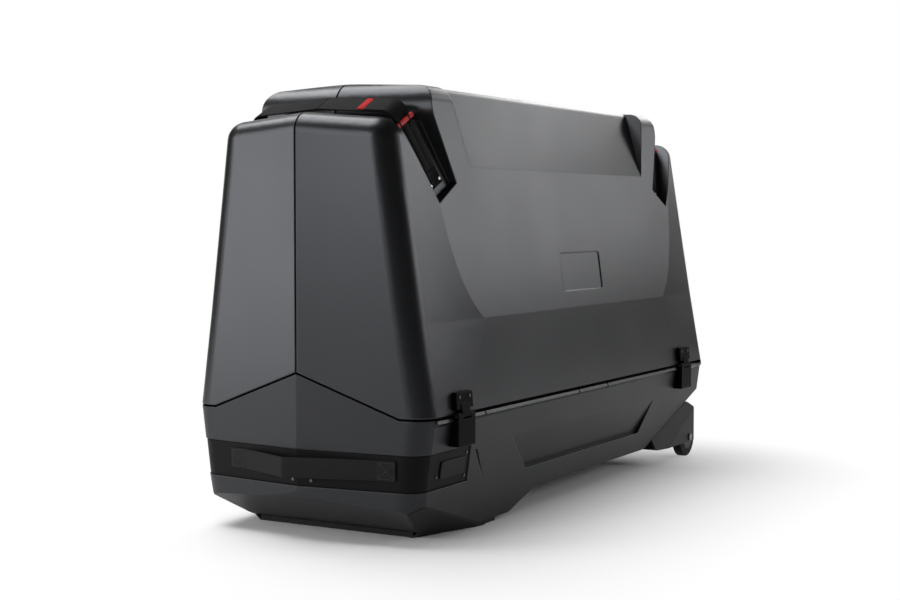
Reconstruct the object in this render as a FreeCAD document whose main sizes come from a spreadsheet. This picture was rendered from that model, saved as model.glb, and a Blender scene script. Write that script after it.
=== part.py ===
import FreeCAD, Part
import math
import os
import Sketcher
from FreeCAD import Placement, Rotation, Vector

# Hard travel case for a bicycle: a tub on two wheels and two feet, closed by two wing lids that hinge
# on its long sides and meet at a seam along the middle. X runs along the case from the handle end to
# the wheel end, Y across it, Z up from the floor. Lengths are millimetres, angles degrees.

doc = FreeCAD.newDocument("bike_case")
sheet = doc.addObject("Spreadsheet::Sheet", "Sizes")

SIZES = {
    # Outline of the case
    "apex_half_length": 645,
    "wheel_end_overhang": 41,
    "prow_share": 0.12,
    "corner_round": 45,
    "rim_half_width": 241,
    "ridge_half_width": 228,
    "slot_half_width_of_case": 201,
    "cap_rim_half_width": 243,
    "cap_ridge_half_width": 217,
    "cap_slot_half_width": 186,
    "cap_crown_half_width": 158,
    "flare_ridge_share": 0.05,
    "flare_slot_share": 0.131,
    "flare_crown_share": 0.26,
    "parting_height": 217,
    "ridge_height": 372,
    "slot_level_drop": 209,
    "crown_drop": 36,
    "section_drop": 56,
    "section_round": 34,
    "section_roof_share": 0.084,
    "overrun": 30,
    # Raised middle of the lids
    "plateau_height": 781,
    "plateau_setback": 99,
    "plateau_lean_share": 0.43,
    "plateau_prow_share": 0.155,
    "plateau_round": 45,
    "plateau_roof_share": 0.045,
    "plateau_depth": 311,
    "shoulder_round": 34,
    "panel_drop": 146,
    "panel_foot_setback": 260,
    "panel_top_setback": 213,
    "panel_top_half_width": 134,
    "panel_round": 16,
    "plaque_length": 182,
    "plaque_width": 74,
    "plaque_depth": 2,
    "plaque_middle": 24,
    "plaque_height_share": 0.345,
    "plaque_round": 6,
    # Lid shells
    "lid_wall": 4,
    "seam_gap": 3,
    "chevron_height": 287,
    "chevron_half_width": 190,
    # Belt slots
    "slot_tilt": 28,
    "slot_setback": 169,
    "slot_foot_drop": 193,
    "slot_half_width": 36,
    "slot_flare_share": 0.086,
    "slot_floor_half_width": 182,
    "slot_floor_lean_share": 0.245,
    "slot_roof_reach": 176,
    "slot_roof_share": 0.075,
    "slot_round": 22,
    # Tub
    "tub_wall": 4.5,
    "rim_gap": 4,
    "tub_belly_height": 42,
    "tub_belly_half_width": 217,
    "tub_waist_height": 100,
    "tub_waist_cap_half_width": 226.5,
    "tub_keel_cap_half_width": 208.5,
    "tub_keel_rake": 11,
    "keel_height": 8,
    "bow_height": 76,
    "bow_setback": 115,
    "bow_round": 60,
    "bow_edge_round": 36,
    "keel_setback": 369,
    "keel_ramp_setback": 467,
    "ramp_setback": 295,
    "ramp_slope_share": 0.379,
    "stern_round": 60,
    "belly_round": 40,
    "cheek_foot_setback": 251,
    "cheek_foot_half_width": 215,
    "cheek_front_half_width": 166,
    "cheek_front_setback": 97,
    "cheek_top_setback": 91,
    "cheek_top_half_width": 222,
    "cheek_top_height": 57,
    "recess_top_height": 152,
    "recess_foot_height": 84,
    "recess_near_top_setback": 346,
    "recess_near_foot_setback": 416,
    "recess_far_top_setback": 276,
    "recess_far_foot_setback": 343,
    "recess_depth": 9,
    "groove_top_setback": 207,
    "groove_top_height": 146,
    "groove_foot_setback": 251,
    "groove_foot_height": 88,
    "groove_width": 8,
    "groove_depth": 3,
    "bead_height": 206.3,
    "bead_depth": 8,
    "bead_proud": 3.5,
    "bead_setback": 57,
    "bead_notch": 5,
    "bead_notch_near": 423,
    "bead_notch_middle": 39,
    "bead_notch_far": 96,
    # Handle band and carrying handle
    "band_foot_height": 94,
    "band_width": 61,
    "band_thickness": 3,
    "band_depth": 5,
    "band_gap": 1,
    "band_setback": 190,
    "seat_gap": 0.3,
    "rivet_radius": 2.8,
    "rivet_head": 1.4,
    "handle_width": 34,
    "handle_height": 129,
    "handle_thickness": 3.2,
    "handle_left_end": 150,
    "handle_left_foot": 116,
    "handle_crest": 8,
    "handle_reach": 30,
    "handle_right_foot": 150,
    "handle_right_end": 184,
    "handle_round": 45,
    "handle_crest_round": 8,
    "badge_length": 82,
    "badge_width": 30,
    "badge_thickness": 2,
    "badge_setback": 134,
    "badge_round": 5,
    # Hinges
    "hinge_setback": 140,
    "far_hinge_offset": 6,
    "hinge_width": 58,
    "hinge_standoff": 6.5,
    "hinge_axis_drop": 2,
    "barrel_radius": 5.5,
    "pin_radius": 3,
    "pin_clearance": 0.05,
    "knuckle_gap": 0.5,
    "leaf_knuckle": 28,
    "leaf_width": 56,
    "leaf_height": 254,
    "leaf_foot": 9,
    "leaf_thickness": 9,
    "leaf_rivet_drop": 8,
    "leaf_rivet_spread": 34,
    "base_foot_height": 163,
    "base_top_drop": 6.1,
    # Belts
    "belt_width": 46,
    "belt_thickness": 2.6,
    "belt_gap": 0.3,
    "belt_foot": 12,
    "anchor_width": 48,
    "anchor_thickness": 2.2,
    "anchor_end": 133,
    "overlay_width": 30,
    "overlay_foot": 44,
    "overlay_thickness": 3,
    "ring_width": 54,
    "ring_length": 8,
    "ring_thickness": 7,
    "fold_half_width": 92,
    "tab_length": 14,
    "tab_width": 40,
    "belt_rivet_height": 21,
    "belt_rivet_spread": 30,
    # Wheels, housings and skid
    "wheel_radius": 44,
    "wheel_width": 20,
    "wheel_setback": 119,
    "wheel_half_track": 224,
    "hub_radius": 27,
    "hub_width": 22,
    "tyre_shoulder": 3,
    "axle_radius": 5,
    "axle_clearance": 0.05,
    "axle_head_radius": 8,
    "axle_head": 3,
    "housing_wall": 4,
    "housing_gap": 2,
    "housing_foot_height": 34,
    "housing_top_setback": 114,
    "housing_back_setback": 78,
    "housing_brow_height": 84,
    "housing_round": 12,
    "housing_crest_setback": 94,
    "housing_crest_height": 112,
    "housing_corner_round": 18,
    "housing_tail_setback": 86,
    "housing_tail_height": 56,
    "housing_bulge_height": 98,
    "housing_inner_half_width": 186,
    "well_gap": 6,
    "skid_front_setback": 116,
    "skid_front_half_width": 161,
    "skid_side_setback": 254,
    "skid_side_half_width": 208,
    "skid_back_setback": 323,
    "skid_depth": 3,
    "skid_bite": 5,
    # Seals
    "seal_inset": 1,
    "seal_thickness": 2.2,
    "seal_clearance": 0.4,
    "lip_thickness": 1.8,
    # Inside
    "pad_margin": 14,
    "pad_width": 120,
    "pad_thickness": 16,
    "pad_half_spacing": 118,
    "rail_margin": 24,
    "rail_width": 46,
    "rail_height": 18,
    "rail_wall": 3,
    "clamp_length": 40,
    "clamp_width": 94,
    "clamp_height": 62,
    "clamp_inset": 26,
    "clamp_axle_radius": 6,
    "clamp_collar_radius": 8,
    "clamp_axle_length": 132,
    "clamp_axle_drop": 14,
    "cradle_length": 70,
    "cradle_width": 80,
    "cradle_height": 74,
    "cradle_inset": 60,
    "cradle_notch": 24,
    "screw_radius": 4,
    "screw_head": 2.5,
    "screw_inset": 12,
    "liner_setback": 325,
    "liner_foot_rise": 24,
    "liner_top_drop": 26,
    "liner_thickness": 10,
}
for row, (alias, value) in enumerate(SIZES.items(), 1):
    sheet.set("A%d" % row, alias.replace("_", " "))
    sheet.set("B%d" % row, str(value))
    sheet.setAlias("B%d" % row, alias)
doc.recompute()


def size(alias):
    """A driving size, read from the sheet."""
    return float(sheet.get(alias))


X_AXIS, Y_AXIS, Z_AXIS = Vector(1, 0, 0), Vector(0, 1, 0), Vector(0, 0, 1)
ORIGIN = Vector()
OVERRUN = size("overrun")
APEX = size("apex_half_length")
FAR_APEX = APEX + size("wheel_end_overhang")
PROW = size("prow_share")
SPAN = FAR_APEX + OVERRUN
RIM = size("parting_height")


def from_end(alias):
    """Distance from the middle of the case to something set back from the handle end."""
    return APEX - size(alias)


def from_far_end(alias):
    """Distance from the middle of the case to something set back from the wheel end."""
    return FAR_APEX - size(alias)


def from_top(alias):
    """Height of something that lies a drop below the top of the case."""
    return size("plateau_height") - size(alias)


# Drawing helpers

def rounded_wire(points, radii):
    """Closed wire through points whose corners are rounded by radii."""
    edges, starts, ends, middles = [], [], [], []
    for i, point in enumerate(points):
        back = (points[i - 1] - point).normalize()
        ahead = (points[(i + 1) % len(points)] - point).normalize()
        half = back.getAngle(ahead) / 2
        reach = radii[i] / math.tan(half)
        centre = point + (back + ahead).normalize() * (radii[i] / math.sin(half))
        starts.append(point + back * reach)
        ends.append(point + ahead * reach)
        middles.append(centre + (point - centre).normalize() * radii[i] if radii[i] else None)
    for i in range(len(points)):
        if middles[i]:
            edges.append(Part.Arc(starts[i], middles[i], ends[i]).toShape())
        edges.append(Part.LineSegment(ends[i], starts[(i + 1) % len(points)]).toShape())
    return Part.Wire(edges)


def prism(points, direction, radii=None):
    """Straight extrusion of a polygon, its corners rounded by radii where these are given."""
    wire = rounded_wire(points, radii or [0] * len(points))
    return Part.Face(wire).extrude(direction)


def across(pairs, reach=None):
    """Points (x, z) of a side view at the plane y = 0 or y = reach."""
    return [Vector(x, reach or 0, z) for x, z in pairs]


def along(pairs, start):
    """Points (y, z) of an end view at the plane x = start."""
    return [Vector(start, y, z) for y, z in pairs]


def mirrored_x(shape):
    return shape.mirror(ORIGIN, X_AXIS)


def mirrored_y(shape):
    return shape.mirror(ORIGIN, Y_AXIS)


def offset_path(path, distance):
    """Open path of (u, v) pairs moved to its left by a distance, with mitred corners."""
    normals = []
    for (u0, v0), (u1, v1) in zip(path, path[1:]):
        length = math.hypot(u1 - u0, v1 - v0)
        normals.append((-(v1 - v0) / length, (u1 - u0) / length))
    moved = []
    for i, (u, v) in enumerate(path):
        a = normals[max(i - 1, 0)]
        b = normals[min(i, len(normals) - 1)]
        scale = distance / (1 + a[0] * b[0] + a[1] * b[1])
        moved.append((u + (a[0] + b[0]) * scale, v + (a[1] + b[1]) * scale))
    return moved


def strip_outline(path, radii, lift, thickness):
    """Outline of a strip that lies at a lift to the left of a path, with its corner radii."""
    low = offset_path(path, lift)
    high = offset_path(path, lift + thickness)
    turns = [0] * len(path)
    for i in range(1, len(path) - 1):
        (u0, v0), (u1, v1), (u2, v2) = path[i - 1:i + 2]
        turns[i] = math.copysign(1, (v1 - v0) * (u2 - u1) - (u1 - u0) * (v2 - v1))
    low_radii = [r and r + turn * lift for r, turn in zip(radii, turns)]
    high_radii = [r and r + turn * (lift + thickness) for r, turn in zip(radii, turns)]
    return low + high[::-1], low_radii + high_radii[::-1]


# Form of the case: the long sides, shared by the lids and the tub

SIDE_LEAN = size("ridge_half_width") - size("slot_half_width_of_case")
SIDE_LEAN /= from_top("slot_level_drop") - size("ridge_height")
LOWER_LEAN = (size("rim_half_width") - size("ridge_half_width")) / (size("ridge_height") - RIM)
BELLY = size("tub_belly_height")
TUB_LEAN = (size("rim_half_width") - size("tub_belly_half_width")) / (RIM - BELLY)


def side_half_width(height):
    """Half width of the long side at a height, away from the corners."""
    if height > size("ridge_height"):
        return size("ridge_half_width") - SIDE_LEAN * (height - size("ridge_height"))
    if height > RIM:
        return size("rim_half_width") - LOWER_LEAN * (height - RIM)
    return size("rim_half_width") - TUB_LEAN * (RIM - height)


def end_section(height, apex, corner, flare_share, inset):
    """Quarter outline of the handle end at a height: prow, round corner and flaring cheek."""
    apex = apex - inset * math.hypot(1, PROW)
    corner = corner - inset
    knee = apex - PROW * corner
    cheek = corner + flare_share * knee
    points = [Vector(-apex, 0, height), Vector(-knee, -corner, height)]
    points += [Vector(0, -cheek, height), Vector(0, 0, height)]
    return rounded_wire(points, [0, size("corner_round") - inset, 0, 0])


def end_cap(levels, inset):
    """Quarter of the case, at the handle end, lofted through its sections."""
    wires = [end_section(*level, inset) for level in levels]
    return Part.makeLoft(wires, True, True)


RIM_LEVEL = (RIM, APEX, size("cap_rim_half_width"), 0)
RIDGE_LEVEL = (size("ridge_height"), APEX, size("cap_ridge_half_width"), size("flare_ridge_share"))
SLOT_LEVEL = (from_top("slot_level_drop"), APEX, size("cap_slot_half_width"), size("flare_slot_share"))
CROWN_LEVEL = (from_top("crown_drop"), APEX, size("cap_crown_half_width"), size("flare_crown_share"))
WAIST_LEVEL = (size("tub_waist_height"), APEX, size("tub_waist_cap_half_width"), 0)
KEEL_LEVEL = (-OVERRUN, from_end("tub_keel_rake"), size("tub_keel_cap_half_width"), 0)
LID_LEVELS = [(RIM - OVERRUN,) + RIM_LEVEL[1:], RIM_LEVEL, RIDGE_LEVEL, SLOT_LEVEL, CROWN_LEVEL]
TUB_LEVELS = [KEEL_LEVEL, WAIST_LEVEL, RIM_LEVEL, RIDGE_LEVEL]


def at_wheel_end(levels):
    """The same levels at the wheel end, which stands further out towards the rim."""
    crown = CROWN_LEVEL[0]
    grown = []
    for height, apex, corner, flare_share in levels:
        grown_share = min((crown - height) / (crown - RIM), 1)
        grown.append((height, apex + grown_share * size("wheel_end_overhang"), corner, flare_share))
    return grown


# Form of the lids

SLOT_TILT = math.radians(size("slot_tilt"))


def slot_point(y, climb, breadth):
    """Point of the handle end's belt slot: across, up along the belt's plane and square to that plane."""
    x = -from_end("slot_setback") - math.sin(SLOT_TILT) * climb + math.cos(SLOT_TILT) * breadth
    z = from_top("slot_foot_drop") + math.cos(SLOT_TILT) * climb + math.sin(SLOT_TILT) * breadth
    return Vector(x, y, z)


SLOT_ACROSS = Vector(math.cos(SLOT_TILT), 0, math.sin(SLOT_TILT))


def slot_floor():
    """Path (y, climb) of the slot's floor, from its foot over the corner to the seam."""
    lean = size("slot_floor_lean_share")
    fall = size("slot_roof_share")
    foot = size("slot_floor_half_width")
    reach = size("slot_roof_reach")
    climb = (reach - fall * foot) / (1 - fall * lean)
    return [(-foot, 0), (-foot + lean * climb, climb), (0, reach)]


def slot_tool(inset):
    """What the belt slot of the handle end takes out of the near corner, over half the width."""
    floor = offset_path(slot_floor(), -inset)
    floor[0] = (floor[0][0], -inset)
    floor[-1] = (0, floor[-1][1])
    top = size("slot_roof_reach") + from_end("slot_setback")
    outside = -size("rim_half_width") - OVERRUN
    outline = [(outside, -inset)] + floor + [(0, top), (outside, top)]
    radii = [0, 0, size("slot_round") - inset, 0, 0, 0]
    breadth = size("slot_half_width") + size("slot_flare_share") * top + inset
    depth = breadth + 2 * OVERRUN + size("slot_half_width")
    points = [slot_point(y, climb, -breadth) for y, climb in outline]
    beyond = prism(points, SLOT_ACROSS * (breadth + depth), radii)
    near = -size("slot_half_width") - inset
    flare = size("slot_flare_share") * top
    sides = [(-inset, near), (top, near - flare), (top, depth), (-inset, depth)]
    wedge = prism([slot_point(0, climb, w) for climb, w in sides], Vector(0, outside, 0))
    return beyond.common(wedge)


def end_of_lid(levels, inset):
    """One end of a lid, turned to the handle: the rounded end section with the belt slot cut in it."""
    cap = end_cap(levels, inset)
    ridge = from_top("section_drop") - inset * math.hypot(1, size("section_roof_share"))
    outside = -SPAN
    eave = ridge + size("section_roof_share") * outside
    roof = [(OVERRUN, 0), (OVERRUN, ridge), (0, ridge), (outside, eave), (outside, 0)]
    cap = cap.common(prism(along(roof, -SPAN), Vector(SPAN, 0, 0)))
    top = [face for face in cap.Faces if face.normalAt(0, 0).z > 0.9]
    rim = [e for face in top for e in face.Edges if e.BoundBox.YMax < -inset or e.BoundBox.XMax < -inset]
    rim = [e for e in rim if e.BoundBox.YMin < -inset]
    cap = cap.makeFillet(size("section_round") - inset, rim)
    return cap.cut(slot_tool(inset))


def middle_of_lid(inset):
    """Handle half of the raised middle of one lid, with its leaning rounded end."""
    top = size("plateau_height") - inset
    base = from_top("plateau_depth")
    shift = inset * math.hypot(1, size("plateau_lean_share"))
    lean = size("plateau_lean_share")
    end = from_end("plateau_setback") - shift - lean * inset
    foot = end - lean * (top - base)
    outline = [(-end, top), (OVERRUN * 2, top), (OVERRUN * 2, base), (-foot, base)]
    reach = size("rim_half_width") + OVERRUN
    sweep = Vector(size("plateau_prow_share") * reach, -reach, 0)
    return prism(across(outline), sweep, [size("plateau_round") - inset, 0, 0, 0])


def side_profile(inset, floor):
    """End view of one lid's long side: lower facet, upper facet and rounded shoulder."""
    fall = size("plateau_roof_share")
    ridge = size("plateau_height") - inset
    ridge_width = side_half_width(size("ridge_height")) - inset
    eave = (ridge - fall * (ridge_width + SIDE_LEAN * size("ridge_height"))) / (1 - fall * SIDE_LEAN)
    width = ridge_width - SIDE_LEAN * (eave - size("ridge_height"))
    points = [(0, floor), (0, ridge), (-width, eave), (-ridge_width, size("ridge_height"))]
    foot = (-size("rim_half_width") + inset - LOWER_LEAN * (RIM - floor), floor)
    return points + [foot], [0, 0, size("shoulder_round") - inset, 0, 0]


def panel_tool(inset):
    """Shallow panel sunk between the shoulders of one lid's upper side."""
    fall = size("plateau_roof_share")
    ridge = size("plateau_height") - inset
    foot = (-side_half_width(from_top("panel_drop")) + inset, from_top("panel_drop"))
    eave = (-size("panel_top_half_width") + inset, ridge - fall * (size("panel_top_half_width") - inset))
    lower = (foot[0] + (foot[0] - eave[0]), foot[1] + (foot[1] - eave[1]))
    core = [(0, lower[1]), (0, ridge), eave, lower]
    length = 2 * from_end("panel_top_setback") + 2 * inset
    core = prism(along(core, -length), Vector(2 * length, 0, 0), [0, 0, size("panel_round") - inset, 0])
    low, high = from_end("panel_foot_setback") + inset, from_end("panel_top_setback") + inset
    top = ridge + inset + OVERRUN
    rise = (top - foot[1]) / (ridge - foot[1])
    reach = low + (high - low) * rise
    window = [(-low, foot[1]), (low, foot[1]), (reach, top), (-reach, top)]
    window = prism(across(window), Vector(0, -size("rim_half_width"), 0))
    return window.cut(core)


def lid_form(inset):
    """Solid form of the right lid, drawn in all round by an inset."""
    floor = RIM - OVERRUN
    end = end_of_lid(LID_LEVELS, inset)
    far_end = mirrored_x(end_of_lid(at_wheel_end(LID_LEVELS), inset))
    middle = middle_of_lid(inset)
    form = end.fuse([far_end, middle, mirrored_x(middle)])
    outline, radii = side_profile(inset, floor)
    form = form.common(prism(along(outline, -SPAN), Vector(2 * SPAN, 0, 0), radii))
    form = form.cut(panel_tool(inset))
    return form.removeSplitter()


def below_parting(drop):
    """Everything below the parting line, lowered by a drop, with its chevron at both ends."""
    outside = size("rim_half_width") + OVERRUN
    kink = size("chevron_half_width")
    floor = -OVERRUN
    level = RIM - drop
    outline = [(-outside, floor), (outside, floor), (outside, level), (kink, level)]
    outline += [(0, size("chevron_height") - drop), (-kink, level), (-outside, level)]
    return prism(along(outline, -SPAN), Vector(2 * SPAN, 0, 0))


def plaque_tool():
    """Plain sunk field on the upper side of the right lid."""
    lean = math.degrees(math.atan(SIDE_LEAN))
    length, width = size("plaque_length"), size("plaque_width")
    corners = [(-length / 2, -width / 2), (length / 2, -width / 2)]
    corners += [(length / 2, width / 2), (-length / 2, width / 2)]
    field = prism([Vector(x, 0, z) for x, z in corners], Vector(0, -OVERRUN, 0), [size("plaque_round")] * 4)
    ridge = size("ridge_height")
    height = ridge + size("plaque_height_share") * (from_top("slot_level_drop") - ridge)
    seat = Vector(size("plaque_middle"), -side_half_width(height) + size("plaque_depth"), height)
    field.Placement = Placement(seat, Rotation(X_AXIS, -lean))
    return field


def lid_shell():
    """Right lid: a thin moulding, open below and at the seam."""
    shell = lid_form(0).cut(lid_form(size("lid_wall")))
    shell = shell.cut(below_parting(0))
    seam = Part.makeBox(2 * SPAN, OVERRUN, 2 * SPAN, Vector(-SPAN, -size("seam_gap") / 2, 0))
    return shell.cut(seam).cut(plaque_tool()).removeSplitter()



# Form of the tub

def keel_profile(inset):
    """Side view of the tub: bow, keel, belly and the ramp up to the wheel end."""
    slope = size("ramp_slope_share")
    steep = (size("bow_height") - size("keel_height")) / (APEX - from_end("bow_setback"))
    top = size("ridge_height")
    stem, stern = APEX + size("seat_gap"), FAR_APEX + size("seat_gap")
    outline = [
        (-stem, top),
        (-stem, size("bow_height") + steep * (stem - APEX)),
        (-from_end("bow_setback"), size("keel_height")),
        (-from_end("keel_setback"), size("keel_height")),
        (-from_end("keel_ramp_setback"), BELLY),
        (from_end("ramp_setback"), BELLY),
        (stern, BELLY + slope * (stern - from_end("ramp_setback"))),
        (stern, top),
    ]
    radii = [0, size("bow_edge_round"), size("bow_round"), size("belly_round"), size("belly_round")]
    radii += [size("bow_round"), size("stern_round"), 0]
    wire = rounded_wire(across(outline), radii)
    if inset:
        wire = wire.makeOffset2D(-inset)
    return Part.Face(wire).extrude(Vector(0, -size("rim_half_width") - OVERRUN, 0))


def beyond_plane(first, second, third, outward, distance):
    """Slab that lies beyond a plane through three points, moved outward by a distance."""
    normal = (second - first).cross(third - first).normalize()
    if normal.dot(outward) < 0:
        normal = -normal
    slab = Part.makeBox(2 * SPAN, 2 * SPAN, SPAN, Vector(-SPAN, -SPAN, 0))
    slab.Placement = Placement(first + normal * distance, Rotation(Z_AXIS, normal))
    return slab


def cheek_tool(inset):
    """Slanting undercut of the tub's bow corner, as a slab below a plane through three points."""
    front = Vector(-from_end("cheek_front_setback"), -size("cheek_front_half_width"), size("keel_height"))
    back = Vector(-from_end("cheek_foot_setback"), -size("cheek_foot_half_width"), size("keel_height"))
    brow = Vector(-from_end("cheek_top_setback"), -size("cheek_top_half_width"), size("cheek_top_height"))
    return beyond_plane(front, back, brow, Vector(0, 0, -1), -inset)


def recess_tool(inset):
    """Shallow field in the tub's long side that deepens towards its lower ledge."""
    top, foot = size("recess_top_height") + inset, size("recess_foot_height") - inset
    window = [(-from_end("recess_near_top_setback") - inset, top)]
    window += [(-from_end("recess_near_foot_setback") - inset, foot)]
    window += [(from_end("recess_far_foot_setback") + inset, foot)]
    window += [(from_end("recess_far_top_setback") + inset, top)]
    window = prism(across(window), Vector(0, -size("rim_half_width") - OVERRUN, 0))
    brow = -side_half_width(top) + inset
    ledge = -side_half_width(foot) + inset + size("recess_depth")
    outside = -size("rim_half_width") - OVERRUN
    profile = [(brow, top), (ledge, foot), (outside, foot), (outside, top)]
    wedge = prism(along(profile, -SPAN), Vector(2 * SPAN, 0, 0))
    return window.common(wedge)


def tub_skin(inset):
    """Upright walls of half the tub, before its underside is shaped."""
    ridge = size("ridge_height")
    cap = end_cap(TUB_LEVELS, inset)
    far_cap = mirrored_x(end_cap(at_wheel_end(TUB_LEVELS), inset))
    outside = [(0, -OVERRUN), (0, ridge), (-size("ridge_half_width") + inset, ridge)]
    outside += [(-size("rim_half_width") + inset, RIM), (-side_half_width(-OVERRUN) + inset, -OVERRUN)]
    side = prism(along(outside, -SPAN), Vector(2 * SPAN, 0, 0))
    return cap.fuse(far_cap).common(side)


BAND_FOOT, BAND_TOP = size("band_foot_height"), size("band_foot_height") + size("band_width")
BAND_FACE = size("seat_gap") + size("band_thickness") - size("band_depth")


def band_channel(inset):
    """Shallow channel round the handle end of the tub, for the handle band."""
    margin = size("band_gap") + inset
    width = size("rim_half_width") + OVERRUN
    corner = Vector(-SPAN, -width, BAND_FOOT - margin)
    length, height = SPAN - from_end("band_setback") + margin, size("band_width") + 2 * margin
    box = Part.makeBox(length, width, height, corner)
    return box.cut(tub_skin(inset + size("band_depth")))


def groove_tool():
    """Slit in the tub's long side behind the handle band, that narrows to a point below."""
    top, foot = size("groove_top_height"), size("groove_foot_height")
    near = -from_end("groove_top_setback")
    points = [(near, top), (near + size("groove_width"), top), (-from_end("groove_foot_setback"), foot)]
    slit = prism(across(points), Vector(0, -size("rim_half_width") - OVERRUN, 0))
    skin = tub_skin(size("groove_depth"))
    return slit.cut(skin)


def tub_form(inset):
    """Solid form of half the tub, drawn in all round by an inset."""
    form = tub_skin(inset).common(keel_profile(inset))
    undercut = cheek_tool(inset + size("skid_depth"))
    return form.cut(undercut).cut(recess_tool(inset)).cut(band_channel(inset)).removeSplitter()


def long_side(profile):
    """Strip along the tub's long side, left open where the hinges stand."""
    start = from_end("bead_setback")
    strip = prism(along(profile, -start), Vector(start + from_far_end("bead_setback"), 0, 0))
    width = size("hinge_width") + 2 * size("bead_proud")
    low = min(z for y, z in profile) - OVERRUN
    outside = size("rim_half_width") + OVERRUN
    face = size("rim_half_width") - size("seal_inset") - TUB_LEAN * size("bead_depth") * 2
    for middle in (-from_end("hinge_setback"), from_end("hinge_setback") + size("far_hinge_offset")):
        corner = Vector(middle - width / 2, -outside, low)
        strip = strip.cut(Part.makeBox(width, outside - face, 3 * OVERRUN, corner))
    return strip


def rim_bead():
    """Bead along the tub's long side below the rim, with small drain notches."""
    low, high = size("bead_height") - size("bead_depth") / 2, size("bead_height") + size("bead_depth") / 2
    proud = size("bead_proud")
    root = side_half_width(low) - size("tub_wall") / 2
    profile = [(-root, low), (-side_half_width(low), low), (-side_half_width(low) - proud, low + proud)]
    profile += [(-side_half_width(high) - proud, high), (-root, high)]
    bead = long_side(profile)
    width = size("bead_notch")
    for middle in (-size("bead_notch_near"), -size("bead_notch_middle"), size("bead_notch_far")):
        corner = Vector(middle - width / 2, -size("rim_half_width") - OVERRUN, low - proud)
        depth = size("rim_half_width") + OVERRUN - side_half_width(low)
        bead = bead.cut(Part.makeBox(width, depth, size("bead_depth") + 2 * proud, corner))
    return bead


def tub_shell():
    """Whole tub: a thin moulding with a chevron rim at both ends."""
    half = tub_form(0).cut(tub_form(size("tub_wall")))
    half = half.cut(groove_tool())
    half = half.common(below_parting(size("rim_gap"))).fuse(rim_bead())
    return half.fuse(mirrored_y(half)).removeSplitter()


def seal_lip():
    """Outer lip of the seal, hung over the tub's long side above the bead."""
    gap, thick = size("seat_gap"), size("lip_thickness")
    low, high = size("bead_height") + size("bead_depth") / 2 + gap, RIM - size("seal_clearance")
    rim = RIM - size("rim_gap")
    profile = [(-side_half_width(low) - gap, low), (-side_half_width(rim) - gap, rim)]
    middle = -side_half_width(rim) + size("tub_wall") / 2
    profile += [(middle, rim), (middle, high)]
    profile += [(-side_half_width(rim) - gap - thick, high), (-side_half_width(low) - gap - thick, low)]
    return long_side(profile)


def rim_seal():
    """Soft strip on the tub's rim, under the lids."""
    ring = tub_skin(size("seal_inset")).cut(tub_skin(size("tub_wall")))
    band = below_parting(size("seal_clearance")).cut(below_parting(size("rim_gap")))
    ring = ring.common(band).fuse(seal_lip())
    return ring.fuse(mirrored_y(ring)).removeSplitter()


def seam_seal():
    """Soft strip on the right lid's edge along the seam."""
    ring = lid_form(size("seal_inset")).cut(lid_form(size("lid_wall")))
    ring = ring.cut(below_parting(-size("seal_clearance")))
    # The half form ends at the middle plane, so the strip is the slice just inside the seam, moved out to it
    thick = size("seal_thickness")
    slice_box = Part.makeBox(2 * SPAN, thick, 2 * SPAN, Vector(-SPAN, -thick, 0))
    strip = ring.common(slice_box)
    strip.translate(Vector(0, size("seal_thickness") - size("seam_gap") / 2, 0))
    return strip.removeSplitter()


# Handle band, its fasteners and the carrying handle

def handle_band():
    """Plate wrapped round the handle end of the tub."""
    ring = tub_skin(-BAND_FACE).cut(tub_skin(size("band_depth") - size("seat_gap")))
    reach = size("rim_half_width") + OVERRUN
    length = SPAN - from_end("band_setback")
    box = Part.makeBox(length, 2 * reach, size("band_width"), Vector(-SPAN, -reach, BAND_FOOT))
    half = ring.common(box)
    return half.fuse(mirrored_y(half)).removeSplitter()


def band_front(y):
    """Outer face of the band on the handle end, at a distance across."""
    return PROW * abs(y) - APEX - BAND_FACE * math.hypot(1, PROW)


def rivet(point, direction):
    """Flat round head that stands on a face."""
    head = Part.makeCylinder(size("rivet_radius"), size("rivet_head"), point, direction)
    rise = size("rivet_head")
    closed = [edge for edge in head.Edges if edge.Closed]
    edges = [edge for edge in closed if (edge.CenterOfMass - point).dot(direction) > rise / 2]
    return head.makeFillet(rise / 2, edges)


def carry_handle():
    """Webbing handle that stands off the band between two sewn ends."""
    lift = size("seat_gap")
    stations = [
        (size("handle_left_end"), 0),
        (size("handle_left_foot"), 0),
        (size("handle_crest"), size("handle_reach")),
        (-size("handle_right_foot"), 0),
        (-size("handle_right_end"), 0),
    ]
    path = [(band_front(y) - out, y) for y, out in stations]
    r = size("handle_round")
    crest_round = size("handle_crest_round")
    thick = size("handle_thickness")
    outline, radii = strip_outline(path, [0, r, crest_round, r, 0], -lift - thick, thick)
    low = size("handle_height") - size("handle_width") / 2
    return prism([Vector(x, y, low) for x, y in outline], Vector(0, 0, size("handle_width")), radii)


def badge():
    """Plain plate on the band, on the right side of the tub."""
    low = BAND_FOOT + (size("band_width") - size("badge_width")) / 2
    lean = math.degrees(math.atan(TUB_LEAN))
    length, width = size("badge_length"), size("badge_width")
    corners = [(-length / 2, 0), (length / 2, 0), (length / 2, width), (-length / 2, width)]
    points = [Vector(x, 0, z) for x, z in corners]
    plate = prism(points, Vector(0, -size("badge_thickness"), 0), [size("badge_round")] * 4)
    face = side_half_width(low) + BAND_FACE + size("seat_gap") * math.hypot(1, TUB_LEAN)
    plate.Placement = Placement(Vector(-from_end("badge_setback"), -face, low), Rotation(X_AXIS, lean))
    return plate


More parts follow.
